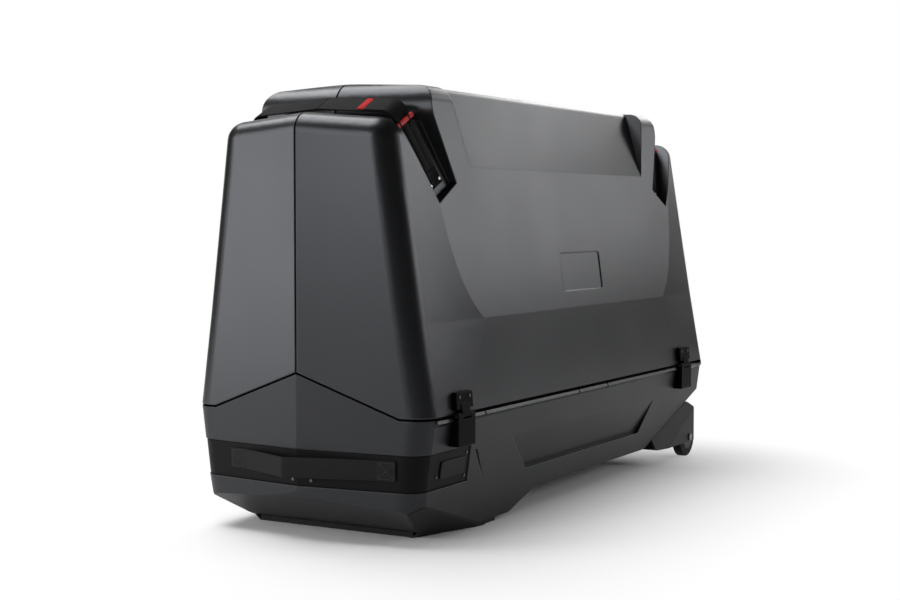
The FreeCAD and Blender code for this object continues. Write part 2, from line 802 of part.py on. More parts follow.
def band_rivets():
    """Rivets of the band: beside the handle's crest on the end, and near the band's ends on the sides."""
    inset = size("band_width") / 6
    side_normal = Vector(0, -1, -TUB_LEAN).normalize()
    beyond_badge = from_end("badge_setback") + size("badge_length") / 2 + inset
    band_end = from_end("band_setback") + inset
    side_places = [(band_end, BAND_FOOT + inset), (band_end, BAND_TOP - inset)]
    side_places += [(beyond_badge, BAND_FOOT + 2 * inset)]
    heads = []
    for reach, height in side_places:
        y = -side_half_width(height) - BAND_FACE
        heads.append(rivet(Vector(-reach, y, height), side_normal))
    heads += [mirrored_y(head) for head in heads]
    for place_share in (0.037, -0.112):
        y = place_share * size("rim_half_width")
        normal = Vector(-1, math.copysign(PROW, y), 0).normalize()
        heads.append(rivet(Vector(band_front(y), y, BAND_FOOT + inset), normal))
    return Part.makeCompound(heads)


# Hinges: a base on the tub, a leaf on the lid and a pin through their knuckles

HINGE_Y = -size("rim_half_width") - size("hinge_standoff")
HINGE_Z = RIM - size("hinge_axis_drop")


def barrel(middle, length, radius):
    return Part.makeCylinder(radius, length, Vector(middle - length / 2, HINGE_Y, HINGE_Z), X_AXIS)


def hinge_base():
    """Thick lower half of a hinge, with a knuckle at each end."""
    width = size("hinge_width")
    gap = size("seat_gap")
    foot, top = size("base_foot_height"), HINGE_Z - size("base_top_drop")
    profile = [(-side_half_width(foot) - gap, foot), (-side_half_width(top) - gap, top)]
    profile += [(HINGE_Y - size("barrel_radius"), top), (HINGE_Y - size("barrel_radius"), foot)]
    start = -from_end("hinge_setback") - width / 2
    base = prism(along(profile, start), Vector(width, 0, 0))
    knuckle = (width - size("leaf_knuckle")) / 2 - size("knuckle_gap")
    for side in (-1, 1):
        middle = -from_end("hinge_setback") + side * (width - knuckle) / 2
        radius = size("barrel_radius")
        corner = Vector(middle - knuckle / 2, HINGE_Y - radius, top)
        cheek = Part.makeBox(knuckle, 2 * radius, HINGE_Z - top, corner)
        base = base.fuse([cheek, barrel(middle, knuckle, radius)])
    bore = barrel(-from_end("hinge_setback"), width + OVERRUN, size("pin_radius") + size("pin_clearance"))
    return base.cut(bore).removeSplitter()


def hinge_leaf():
    """Upper half of a hinge: a plate on the lid with one knuckle in the middle."""
    gap, thick = size("seat_gap"), size("leaf_thickness")
    foot, top = RIM + size("leaf_foot"), size("leaf_height")
    low, high = -side_half_width(foot) - gap, -side_half_width(top) - gap
    start = -from_end("hinge_setback") - size("leaf_width") / 2
    profile = [(low, foot), (high, top), (high - thick, top), (low - thick, foot)]
    plate = prism(along(profile, start), Vector(size("leaf_width"), 0, 0))
    upper = [edge for edge in plate.Edges if edge.CenterOfMass.z > (foot + top) / 2]
    round_edges = [edge for edge in upper if abs(edge.Vertexes[0].Y - edge.Vertexes[-1].Y) > thick / 2]
    plate = plate.makeFillet(thick / 2, round_edges)
    radius = size("barrel_radius")
    web = [(low, foot), (low - thick, foot + thick), (HINGE_Y - radius, HINGE_Z), (HINGE_Y, HINGE_Z)]
    web += [(HINGE_Y + radius * math.cos(math.pi / 6), HINGE_Z + radius * math.sin(math.pi / 6))]
    length = size("leaf_knuckle")
    web = prism(along(web, -from_end("hinge_setback") - length / 2), Vector(length, 0, 0))
    leaf = plate.fuse([web, barrel(-from_end("hinge_setback"), length, radius)])
    bore = barrel(-from_end("hinge_setback"), length + OVERRUN, size("pin_radius") + size("pin_clearance"))
    return leaf.cut(bore).removeSplitter()


def leaf_rivets():
    """Two rivets of one leaf."""
    height = size("leaf_height") - size("leaf_rivet_drop")
    y = -side_half_width(height) - size("seat_gap") - size("leaf_thickness")
    normal = Vector(0, -1, LOWER_LEAN).normalize()
    spread = size("leaf_rivet_spread") / 2
    return [rivet(Vector(-from_end("hinge_setback") + side * spread, y, height), normal) for side in (-1, 1)]


# Belts in the slots: anchored on both lids, closed through a ring on the right

FLOOR = slot_floor()


def slot_strip(path, radii, lift, thickness, width):
    """Strip that lies along the slot's floor, square to the belt's plane."""
    outline, corners = strip_outline(path, radii, lift, thickness)
    points = [slot_point(y, climb, -width / 2) for y, climb in outline]
    return prism(points, SLOT_ACROSS * width, corners)


def on_wall(climb):
    """Point (y, climb) of the slot's floor on the lid's side."""
    return (FLOOR[0][0] + size("slot_floor_lean_share") * climb, climb)


def on_roof(y):
    """Point (y, climb) of the slot's floor on the lid's top."""
    return (y, FLOOR[2][1] + size("slot_roof_share") * y)


def anchor_strap():
    """Riveted strap on the lid's side that holds the ring, with its folded end sewn on top."""
    lift, thick = size("belt_gap"), size("anchor_thickness")
    end = size("anchor_end")
    strap = slot_strip([on_wall(size("belt_foot")), on_wall(end)], [0, 0], lift, thick, size("anchor_width"))
    fold = [on_wall(size("overlay_foot")), on_wall(end)]
    fold = slot_strip(fold, [0, 0], lift + thick, size("overlay_thickness"), size("overlay_width"))
    return strap.fuse(fold).removeSplitter()


def belt_ring():
    """Keeper across the belt at the lid's upper corner."""
    start = size("anchor_end") + size("belt_gap")
    path = [on_wall(start), on_wall(start + size("ring_length"))]
    bar = slot_strip(path, [0, 0], size("belt_gap"), size("ring_thickness"), size("ring_width"))
    return bar.makeFillet(size("ring_thickness") / 4, bar.Edges)


def right_belt():
    """Belt from the seam to the ring, and its end folded back on top."""
    start = on_wall(size("anchor_end") + size("ring_length") + 2 * size("belt_gap"))
    lift, thick, r = size("belt_gap"), size("belt_thickness"), size("slot_round")
    path = [start, FLOOR[1], on_roof(-size("seat_gap") / 2)]
    fold = [FLOOR[1], on_roof(-size("fold_half_width"))]
    low, middle, high = [offset_path(path, lift + layers * thick) for layers in range(3)]
    step = [offset_path(fold, lift + layers * thick)[-1] for layers in (1, 2)]
    outline = low + [middle[-1]] + step + [high[1], high[0]]
    corners = [0, r + lift, 0, 0, 0, 0, r + lift + 2 * thick, 0]
    width = size("belt_width")
    return prism([slot_point(y, climb, -width / 2) for y, climb in outline], SLOT_ACROSS * width, corners)


def pull_tab():
    """Tab at the folded end of the belt."""
    thick = size("belt_thickness")
    near = on_roof(-size("fold_half_width") + size("belt_gap"))
    far = on_roof(-size("fold_half_width") + size("tab_length"))
    return slot_strip([near, far], [0, 0], size("belt_gap") + thick, thick, size("tab_width"))


def left_belt():
    """Belt from its rivets on the left lid up to the seam, drawn on the right and mirrored."""
    seam = on_roof(-size("seat_gap") / 2)
    path = [on_wall(size("belt_foot")), FLOOR[1], seam]
    lift, thick = size("belt_gap"), size("belt_thickness")
    strip = slot_strip(path, [0, size("slot_round"), 0], lift, thick, size("belt_width"))
    return mirrored_y(strip)


def belt_rivets(thickness):
    """Two rivets through a belt's foot."""
    lean = size("slot_floor_lean_share")
    lift = size("belt_gap") + thickness
    y, climb = on_wall(size("belt_rivet_height"))
    out = 1 / math.hypot(1, lean)
    normal = Vector(-math.sin(SLOT_TILT) * lean * out, -out, math.cos(SLOT_TILT) * lean * out)
    heads = []
    for side in (-1, 1):
        point = slot_point(y, climb, side * size("belt_rivet_spread") / 2) + normal * lift
        heads.append(rivet(point, normal))
    return heads


# Skid and wheel housings

def front_skid():
    """Black skid under the bow: a plate below the keel that fills the undercut corners."""
    front, back = -from_end("skid_front_setback"), -from_end("skid_back_setback")
    side = -from_end("skid_side_setback")
    front_width, side_width = size("skid_front_half_width"), size("skid_side_half_width")
    outline = [(front, 0), (front, -front_width), (side, -side_width), (back, -side_width), (back, 0)]
    top = size("keel_height") + size("skid_bite")
    plate = prism([Vector(x, y, 0) for x, y in outline], Vector(0, 0, top))
    cheek = tub_skin(0).common(cheek_tool(size("skid_depth"))).cut(cheek_tool(0))
    below_keel = Part.makeBox(back - front, SPAN, top, Vector(front, -SPAN, 0))
    cheek = cheek.common(keel_profile(0).fuse(below_keel))
    half = plate.fuse(cheek).cut(tub_form(-size("seat_gap")))
    half = max(half.Solids, key=lambda solid: solid.Volume)
    return half.fuse(mirrored_y(half)).removeSplitter()


WHEEL_X, WHEEL_Y, WHEEL_Z = from_far_end("wheel_setback"), -size("wheel_half_track"), size("wheel_radius")
WELL_HALF = size("wheel_width") / 2 + size("housing_gap")
HOUSING_FACE = WHEEL_Y - WELL_HALF - size("housing_wall")


def wheel_housing():
    """Moulded housing under the ramp of the tub, with a well for one wheel."""
    slope = size("ramp_slope_share")
    gap = size("seat_gap") * math.hypot(1, slope)
    foot = size("housing_foot_height")

    def ramp(x):
        return BELLY + slope * (x - from_end("ramp_setback")) - gap

    start, back = from_end("ramp_setback") + size("belly_round"), from_far_end("housing_back_setback")
    top = from_far_end("housing_top_setback")
    outline = [(start, foot), (start, ramp(start)), (top, ramp(top))]
    outline += [(from_far_end("housing_crest_setback"), size("housing_crest_height"))]
    outline += [(back, size("housing_brow_height")), (back, size("housing_tail_height"))]
    outline += [(from_far_end("housing_tail_setback"), foot)]
    r = size("housing_round")
    inner = -size("housing_inner_half_width")
    radii = [r / 2, 0, r, 2 * r, r, r, r / 2]
    body = prism(across(outline, inner), Vector(0, HOUSING_FACE - inner, 0), radii)
    plan = [(start - OVERRUN, inner), (start - OVERRUN, HOUSING_FACE), (back, HOUSING_FACE), (back, inner)]
    corners = [0, 0, size("housing_corner_round"), 0]
    body = body.common(prism([Vector(x, y, 0) for x, y in plan], Vector(0, 0, SPAN), corners))
    root = Vector(start, -side_half_width(ramp(start)), ramp(start))
    peak = Vector(top, -side_half_width(ramp(top)), ramp(top))
    bulge = Vector(WHEEL_X, HOUSING_FACE, size("housing_bulge_height"))
    body = body.cut(beyond_plane(root, peak, bulge, Vector(0, -1, 0), 0))
    well_foot = Vector(WHEEL_X, WHEEL_Y - WELL_HALF, WHEEL_Z)
    well = Part.makeCylinder(size("wheel_radius") + size("well_gap"), 2 * WELL_HALF, well_foot, Y_AXIS)
    chute_foot = Vector(WHEEL_X, WHEEL_Y - WELL_HALF, 0)
    chute = Part.makeBox(2 * OVERRUN + size("wheel_radius"), 2 * WELL_HALF, size("wheel_radius"), chute_foot)
    hole_radius = size("axle_radius") + size("axle_clearance")
    hole = Part.makeCylinder(hole_radius, SPAN, Vector(WHEEL_X, -SPAN, WHEEL_Z), Y_AXIS)
    return body.cut([well, chute, hole]).removeSplitter()


# Inside of the case

def lid_liner():
    """Foam slab on the inside of the right lid's upper side."""
    seat = size("lid_wall") * math.hypot(1, SIDE_LEAN) + size("seat_gap")
    low = size("ridge_height") + size("liner_foot_rise")
    high = from_top("slot_level_drop") - size("liner_top_drop")
    thick = size("liner_thickness")
    profile = [(-side_half_width(low) + seat, low), (-side_half_width(high) + seat, high)]
    profile += [(-side_half_width(high) + seat + thick, high), (-side_half_width(low) + seat + thick, low)]
    reach = from_end("liner_setback")
    return prism(along(profile, -reach), Vector(2 * reach, 0, 0))


# The pieces that are moulded, sewn or bent to the form of the case

pieces = {}


def add_piece(label, shape):
    """Sub-part with a shape worked out above."""
    piece = doc.addObject("Part::Feature", label)
    piece.Label = label
    solids = shape.Solids
    piece.Shape = solids[0] if len(solids) == 1 else Part.makeCompound(solids)
    pieces[label] = piece


right_lid = lid_shell()
add_piece("tub_shell", tub_shell())
add_piece("rim_seal", rim_seal())
add_piece("handle_band", handle_band())
add_piece("band_rivets", band_rivets())
add_piece("carry_handle", carry_handle())
add_piece("badge", badge())
add_piece("front_skid", front_skid())
housing = wheel_housing()
add_piece("right_wheel_housing", housing)
add_piece("left_wheel_housing", mirrored_y(housing))
add_piece("right_lid_shell", right_lid)
add_piece("left_lid_shell", mirrored_y(right_lid))
add_piece("seam_seal", seam_seal())
liner = lid_liner()
add_piece("right_liner", liner)
add_piece("left_liner", mirrored_y(liner))


def at_far_hinge(shape):
    """A piece of the handle end's hinge, moved to the wheel end."""
    return mirrored_x(shape).translated(Vector(size("far_hinge_offset"), 0, 0))


base_shape, leaf_shape = hinge_base(), hinge_leaf()
add_piece("near_right_hinge_base", base_shape)
add_piece("far_right_hinge_base", at_far_hinge(base_shape))
add_piece("near_left_hinge_base", mirrored_y(base_shape))
add_piece("far_left_hinge_base", at_far_hinge(mirrored_y(base_shape)))
add_piece("near_right_hinge_leaf", leaf_shape)
add_piece("far_right_hinge_leaf", at_far_hinge(leaf_shape))
add_piece("near_left_hinge_leaf", mirrored_y(leaf_shape))
add_piece("far_left_hinge_leaf", at_far_hinge(mirrored_y(leaf_shape)))
heads = leaf_rivets()
heads += [at_far_hinge(head) for head in heads]
add_piece("right_leaf_rivets", Part.makeCompound(heads))
add_piece("left_leaf_rivets", Part.makeCompound([mirrored_y(head) for head in heads]))
right_heads = belt_rivets(size("anchor_thickness"))
left_heads = [mirrored_y(head) for head in belt_rivets(size("belt_thickness"))]
add_piece("right_belt_rivets", Part.makeCompound(right_heads + [mirrored_x(head) for head in right_heads]))
add_piece("left_belt_rivets", Part.makeCompound(left_heads + [mirrored_x(head) for head in left_heads]))
for end, turned in (("near", lambda shape: shape), ("far", mirrored_x)):
    add_piece(end + "_anchor_strap", turned(anchor_strap()))
    add_piece(end + "_belt_ring", turned(belt_ring()))
    add_piece(end + "_right_belt", turned(right_belt()))
    add_piece(end + "_pull_tab", turned(pull_tab()))
    add_piece(end + "_left_belt", turned(left_belt()))

# The case is centred on its box: the handle stands out at one end only
handle_reach = -pieces["carry_handle"].Shape.BoundBox.XMin
shift_row = len(SIZES) + 1
sheet.set("A%d" % shift_row, "centre shift")
sheet.set("B%d" % shift_row, str(round((handle_reach - FAR_APEX) / 2, 3)))
sheet.setAlias("B%d" % shift_row, "centre_shift")
doc.recompute()
for piece in pieces.values():
    piece.Placement = Placement(Vector(size("centre_shift"), 0, 0), Rotation()).multiply(piece.Placement)


# The pieces made from plain turned, milled and cut stock, bound to the sheet

def bind(thing, **expressions):
    """Ties properties of an object to the sheet; a double underscore stands for a dot."""
    for path, expression in expressions.items():
        thing.setExpression(path.replace("__", "."), expression)


def stock(kind, name, **expressions):
    thing = doc.addObject("Part::" + kind, name)
    bind(thing, **expressions)
    return thing


def gather(label, parts):
    """Several separate solids as one sub-part."""
    group = doc.addObject("Part::Compound", label)
    group.Label = label
    group.Links = parts
    pieces[label] = group


TURN_X = Rotation(Y_AXIS, 90)
TURN_Y = Rotation(X_AXIS, -90)
S = "Sizes."

HINGE_REACH = "(Sizes.apex_half_length - Sizes.hinge_setback)"
pins = []
for pin_middle in ("-" + HINGE_REACH, "+ %s + Sizes.far_hinge_offset" % HINGE_REACH):
    for y_sign in ("-", ""):
        pin = stock(
            "Cylinder", "hinge_pin", Radius=S + "pin_radius", Height=S + "hinge_width",
            Placement__Base__x="Sizes.centre_shift - Sizes.hinge_width / 2 %s" % pin_middle,
            Placement__Base__y="%s(Sizes.rim_half_width + Sizes.hinge_standoff)" % y_sign,
            Placement__Base__z="Sizes.parting_height - Sizes.hinge_axis_drop",
        )
        pin.Placement.Rotation = TURN_X
        pins.append(pin)
gather("hinge_pins", pins)

WHEEL_PLACE = {
    "Placement__Base__x":
        "Sizes.centre_shift + Sizes.apex_half_length + Sizes.wheel_end_overhang - Sizes.wheel_setback",
    "Placement__Base__z": S + "wheel_radius",
}
for hand in ("right", "left"):
    face = "(Sizes.wheel_half_track + Sizes.wheel_width / 2 + Sizes.housing_gap + Sizes.housing_wall)"
    span = "%s - Sizes.housing_inner_half_width" % face
    start = "-%s" % face if hand == "right" else "Sizes.housing_inner_half_width"
    shaft = stock(
        "Cylinder", hand + "_axle_shaft", Radius=S + "axle_radius", Height=span,
        Placement__Base__y=start, **WHEEL_PLACE,
    )
    shaft.Placement.Rotation = TURN_Y
    head_start = "-%s - Sizes.axle_head" % face if hand == "right" else face
    head = stock(
        "Cylinder", hand + "_axle_head", Radius=S + "axle_head_radius", Height=S + "axle_head",
        Placement__Base__y=head_start, **WHEEL_PLACE,
    )
    head.Placement.Rotation = TURN_Y
    label = hand + "_wheel_axle"
    axle = doc.addObject("Part::Fuse", label)
    axle.Label = label
    axle.Base, axle.Tool = shaft, head
    pieces[label] = axle


def turned_ring(label, outer, bore, width):
    """Ring about its own Y axis, from a sketch of two circles bound to the sheet."""
    body = doc.addObject("PartDesign::Body", label)
    body.Label = label
    sketch = body.newObject("Sketcher::SketchObject", label + "_profile")
    plane = [feature for feature in body.Origin.OriginFeatures if feature.Role == "XZ_Plane"][0]
    sketch.AttachmentSupport = [(plane, "")]
    sketch.MapMode = "FlatFace"
    for ring, radius in enumerate((outer, bore)):
        sketch.addGeometry(Part.Circle(ORIGIN, Z_AXIS, size("wheel_radius") / (ring + 1)), False)
        sketch.addConstraint(Sketcher.Constraint("Coincident", ring, 3, -1, 1))
        row = sketch.addConstraint(Sketcher.Constraint("Radius", ring, size("wheel_radius") / (ring + 1)))
        sketch.setExpression("Constraints[%d]" % row, radius)
    pad = body.newObject("PartDesign::Pad", label + "_pad")
    pad.Profile = sketch
    pad.Midplane = True
    pad.setExpression("Length", width)
    doc.recompute()
    return body, pad


for hand, y_sign in (("right", "-"), ("left", "")):
    tyre, tread = turned_ring(hand + "_tyre", S + "wheel_radius", S + "hub_radius", S + "wheel_width")
    rims = ["Edge%d" % number for number, edge in enumerate(tread.Shape.Edges, 1)
            if edge.Closed and edge.Curve.Radius > size("hub_radius") + size("tyre_shoulder")]
    shoulder = tyre.newObject("PartDesign::Fillet", hand + "_tyre_shoulder")
    shoulder.Base = (tread, rims)
    shoulder.setExpression("Radius", S + "tyre_shoulder")
    bore = "Sizes.axle_radius + Sizes.axle_clearance"
    hub, plate = turned_ring(hand + "_hub", S + "hub_radius", bore, S + "hub_width")
    for wheel_piece in (tyre, hub):
        bind(wheel_piece, Placement__Base__y=y_sign + S + "wheel_half_track", **WHEEL_PLACE)
        pieces[wheel_piece.Label] = wheel_piece

# Inside of the tub: two pads and a rail on the floor, a fork clamp and a frame cradle on the rail
FLOOR_HEIGHT = "(Sizes.tub_belly_height + Sizes.tub_wall)"
RAIL_TOP = "(Sizes.tub_belly_height + Sizes.tub_wall + Sizes.rail_height)"
FLOOR_START = "(Sizes.centre_shift - Sizes.apex_half_length + Sizes.keel_ramp_setback)"
FLOOR_LENGTH = "(2 * Sizes.apex_half_length - Sizes.keel_ramp_setback - Sizes.ramp_setback)"
RAIL_START = "(%s + Sizes.rail_margin)" % FLOOR_START
RAIL_LENGTH = "(%s - 2 * Sizes.rail_margin)" % FLOOR_LENGTH
pads = []
for y_sign in ("-", ""):
    pads.append(stock(
        "Box", "floor_pad", Length=FLOOR_LENGTH + " - 2 * Sizes.pad_margin", Width=S + "pad_width",
        Height=S + "pad_thickness", Placement__Base__x=FLOOR_START + " + Sizes.pad_margin",
        Placement__Base__y=y_sign + "Sizes.pad_half_spacing - Sizes.pad_width / 2",
        Placement__Base__z=FLOOR_HEIGHT,
    ))
gather("floor_pads", pads)


def hollowed(label, block, tool):
    """Sub-part left when a tool is cut out of a block."""
    result = doc.addObject("Part::Cut", label)
    result.Label = label
    result.Base, result.Tool = block, tool
    pieces[label] = result


rail_block = stock(
    "Box", "rail_block", Length=RAIL_LENGTH, Width=S + "rail_width", Height=S + "rail_height",
    Placement__Base__x=RAIL_START, Placement__Base__y="-Sizes.rail_width / 2",
    Placement__Base__z=FLOOR_HEIGHT,
)
rail_channel = stock(
    "Box", "rail_channel", Length=RAIL_LENGTH, Width="Sizes.rail_width - 2 * Sizes.rail_wall",
    Height="Sizes.rail_height - Sizes.rail_wall", Placement__Base__x=RAIL_START,
    Placement__Base__y="Sizes.rail_wall - Sizes.rail_width / 2", Placement__Base__z=FLOOR_HEIGHT,
)
hollowed("mount_rail", rail_block, rail_channel)

CLAMP_START = "(%s + Sizes.clamp_inset)" % RAIL_START
clamp_block = stock(
    "Box", "clamp_block", Length=S + "clamp_length", Width=S + "clamp_width", Height=S + "clamp_height",
    Placement__Base__x=CLAMP_START, Placement__Base__y="-Sizes.clamp_width / 2", Placement__Base__z=RAIL_TOP,
)
AXLE_PLACE = {
    "Placement__Base__x": "%s + Sizes.clamp_length / 2" % CLAMP_START,
    "Placement__Base__z": "%s + Sizes.clamp_height - Sizes.clamp_axle_drop" % RAIL_TOP,
}
clamp_bore = stock(
    "Cylinder", "clamp_bore", Radius="Sizes.clamp_collar_radius + Sizes.axle_clearance",
    Height=S + "clamp_axle_length", Placement__Base__y="-Sizes.clamp_axle_length / 2", **AXLE_PLACE
)
clamp_bore.Placement.Rotation = TURN_Y
hollowed("fork_clamp", clamp_block, clamp_bore)
journals = stock(
    "Cylinder", "fork_journals", Radius=S + "clamp_axle_radius", Height=S + "clamp_axle_length",
    Placement__Base__y="-Sizes.clamp_axle_length / 2", **AXLE_PLACE
)
journals.Placement.Rotation = TURN_Y
collar = stock(
    "Cylinder", "fork_collar", Radius=S + "clamp_collar_radius", Height=S + "clamp_width",
    Placement__Base__y="-Sizes.clamp_width / 2", **AXLE_PLACE
)
collar.Placement.Rotation = TURN_Y
fork_axle = doc.addObject("Part::Fuse", "fork_axle")
fork_axle.Label = "fork_axle"
fork_axle.Base, fork_axle.Tool = journals, collar
pieces["fork_axle"] = fork_axle

CRADLE_START = "(%s + %s - Sizes.cradle_inset - Sizes.cradle_length)" % (RAIL_START, RAIL_LENGTH)
cradle_block = stock(
    "Box", "cradle_block", Length=S + "cradle_length", Width=S + "cradle_width", Height=S + "cradle_height",
    Placement__Base__x=CRADLE_START, Placement__Base__y="-Sizes.cradle_width / 2",
    Placement__Base__z=RAIL_TOP,
)
cradle_notch = stock(
    "Cylinder", "cradle_notch", Radius=S + "cradle_notch", Height=S + "cradle_length",
    Placement__Base__x=CRADLE_START,
    Placement__Base__z="%s + Sizes.cradle_height" % RAIL_TOP,
)
cradle_notch.Placement.Rotation = TURN_X
hollowed("frame_cradle", cradle_block, cradle_notch)

screws = []
for screw_place in ("Sizes.screw_inset", "%s - Sizes.screw_inset" % RAIL_LENGTH):
    for y_sign in ("-", ""):
        screws.append(stock(
            "Cylinder", "rail_screw", Radius=S + "screw_radius", Height=S + "screw_head",
            Placement__Base__x="%s + %s" % (RAIL_START, screw_place),
            Placement__Base__y=y_sign + "Sizes.rail_width / 4", Placement__Base__z=RAIL_TOP,
        ))
gather("rail_screws", screws)
doc.recompute()

# Every object is sound before the pieces are written
for thing in doc.Objects:
    if "Invalid" in thing.State or "Error" in thing.State:
        raise RuntimeError("object not sound: " + thing.Label)
for label, piece in pieces.items():
    if piece.Shape.isNull() or not piece.Shape.isValid():
        raise RuntimeError("shape not sound: " + label)
os.makedirs("parts", exist_ok=True)
for label, piece in pieces.items():
    piece.Shape.exportStep("parts/" + label + ".step")
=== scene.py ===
import math
import bmesh
import bpy
from mathutils import Matrix, Vector


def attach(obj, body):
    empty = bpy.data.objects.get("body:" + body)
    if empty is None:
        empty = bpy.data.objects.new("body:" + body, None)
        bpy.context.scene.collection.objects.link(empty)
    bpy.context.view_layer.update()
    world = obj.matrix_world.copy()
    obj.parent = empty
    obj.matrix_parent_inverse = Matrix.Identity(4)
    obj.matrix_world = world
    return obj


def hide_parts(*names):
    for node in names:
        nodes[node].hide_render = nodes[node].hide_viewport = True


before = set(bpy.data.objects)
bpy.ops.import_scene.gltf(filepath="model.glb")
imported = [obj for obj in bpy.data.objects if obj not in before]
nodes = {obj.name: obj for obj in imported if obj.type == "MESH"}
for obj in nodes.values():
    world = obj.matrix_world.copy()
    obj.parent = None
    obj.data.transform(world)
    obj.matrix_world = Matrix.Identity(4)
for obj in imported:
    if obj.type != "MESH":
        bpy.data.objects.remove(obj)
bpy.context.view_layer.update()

# Camera: stands off the handle end and the right side, as high as the case's upper half, tipped down a little.
# Its lens, place and turn were fitted to the straight edges of the case in the photograph.
camera = bpy.data.cameras.new("camera")
camera.sensor_width = 36
camera.lens = 62.331
camera_stand = bpy.data.objects.new("camera", camera)
yaw, pitch = math.radians(29.73), math.radians(-3.10)
sight = Vector((math.cos(pitch) * math.cos(yaw), math.cos(pitch) * math.sin(yaw), math.sin(pitch)))
case_shift = -0.00532  # where the middle between the two belts lies along the case
camera_stand.location = (-2.78891 + case_shift, -1.52385, 0.55031)
camera_stand.rotation_euler = sight.to_track_quat("-Z", "Y").to_euler()
bpy.context.scene.collection.objects.link(camera_stand)
bpy.context.scene.camera = camera_stand
bpy.context.scene.view_settings.view_transform = "Standard"

# Tub: the lower half of the case, a thin moulding in black satin plastic with a fine sand-blasted grain.
# It carries the hinges, the handle band, the skid and the wheels. Its edges are painted a little paler,
# partly as rubbing from handling and partly as a painted highlight.


def moulded_plastic(
    name, colour, roughness, grain_size, grain_depth, mottle=0.12, edge_wear_and_highlight=0.0, shine=0.5, gloss_tint=(1, 1, 1)
):
    """Moulded plastic: fine grain, slight clouding of the colour, uneven gloss, edges painted paler as wear and
    highlight.
    """
    material = bpy.data.materials.new(name)
    material.use_nodes = True
    tree = material.node_tree
    shader = tree.nodes["Principled BSDF"]
    shader.inputs["Specular IOR Level"].default_value = shine
    shader.inputs["Specular Tint"].default_value = (*gloss_tint, 1)
    place = tree.nodes.new("ShaderNodeTexCoord")
    cloud = tree.nodes.new("ShaderNodeTexNoise")
    cloud.inputs["Scale"].default_value = 7
    cloud.inputs["Detail"].default_value = 5
    tint = tree.nodes.new("ShaderNodeMix")
    tint.data_type = "RGBA"
    tint.inputs["A"].default_value = [c * (1 - mottle) for c in colour] + [1]
    tint.inputs["B"].default_value = [c * (1 + mottle) for c in colour] + [1]
    gloss = tree.nodes.new("ShaderNodeMapRange")
    gloss.inputs["To Min"].default_value = roughness - 0.04
    gloss.inputs["To Max"].default_value = roughness + 0.05
    grain = tree.nodes.new("ShaderNodeTexNoise")
    grain.inputs["Scale"].default_value = 1 / grain_size
    grain.inputs["Detail"].default_value = 2
    bump = tree.nodes.new("ShaderNodeBump")
    bump.inputs["Strength"].default_value = 0.6
    bump.inputs["Distance"].default_value = grain_depth
    link = tree.links.new
    link(place.outputs["Object"], cloud.inputs["Vector"])
    link(place.outputs["Object"], grain.inputs["Vector"])
    link(cloud.outputs["Fac"], tint.inputs["Factor"])
    link(cloud.outputs["Fac"], gloss.inputs["Value"])
    link(gloss.outputs["Result"], shader.inputs["Roughness"])
    link(grain.outputs["Fac"], bump.inputs["Height"])
    link(bump.outputs["Normal"], shader.inputs["Normal"])
    colour_out = tint.outputs["Result"]
    # Edges are painted paler from the rounded normal: wear, and at high strength a painted highlight.
    if edge_wear_and_highlight:
        rounded = tree.nodes.new("ShaderNodeBevel")
        rounded.samples = 6
        rounded.inputs["Radius"].default_value = 0.003
        faced = tree.nodes.new("ShaderNodeNewGeometry")
        along_edge = tree.nodes.new("ShaderNodeVectorMath")
        along_edge.operation = "DOT_PRODUCT"
        rubbed_and_highlit = tree.nodes.new("ShaderNodeMapRange")
        rubbed_and_highlit.inputs["From Min"].default_value = 0.99
        rubbed_and_highlit.inputs["From Max"].default_value = 0.86
        rubbed_and_highlit.inputs["To Max"].default_value = edge_wear_and_highlight
        worn_and_highlit = tree.nodes.new("ShaderNodeMix")
        worn_and_highlit.data_type = "RGBA"
        worn_and_highlit.inputs["B"].default_value = [min(c * 3 + 0.03, 1) for c in colour] + [1]
        link(rounded.outputs["Normal"], bump.inputs["Normal"])
        link(rounded.outputs["Normal"], along_edge.inputs[0])
        link(faced.outputs["True Normal"], along_edge.inputs[1])
        link(along_edge.outputs["Value"], rubbed_and_highlit.inputs["Value"])
        link(rubbed_and_highlit.outputs["Result"], worn_and_highlit.inputs["Factor"])
        link(colour_out, worn_and_highlit.inputs["A"])
        colour_out = worn_and_highlit.outputs["Result"]
    link(colour_out, shader.inputs["Base Color"])
    return material


def dress(material, *names):
    """Gives a finish to solids that already have their shape."""
    for name in names:
        nodes[name].data.materials.clear()
        nodes[name].data.materials.append(material)


shell_black, cool_gloss = (0.0065, 0.0067, 0.0072), (0.91, 0.93, 1)
shell_grain, shell_grain_depth = 0.0011, 0.00012
# The tub's edges are painted paler partly as wear and partly as a painted highlight.
tub_plastic = moulded_plastic(
    "tub_plastic", shell_black, roughness=0.48, grain_size=shell_grain, grain_depth=shell_grain_depth,
    edge_wear_and_highlight=0.6, shine=0.4, gloss_tint=cool_gloss,
)
dress(tub_plastic, "tub_shell")

# Rim seal: a soft strip of dull black rubber pressed on the tub's rim all round.
# Its lip hangs over the long sides and shows as a dark line under the lids. The rubber is painted almost black
# with next to no gloss, partly as painted shade of the gap under the lids.
# Painted almost black with next to no gloss: black rubber, and partly painted shade in the gap.
seal_rubber = moulded_plastic(
    "seal_rubber", (0.0008, 0.0008, 0.0008), roughness=0.85, grain_size=0.002, grain_depth=0.0001, shine=0.012
)
dress(seal_rubber, "rim_seal")

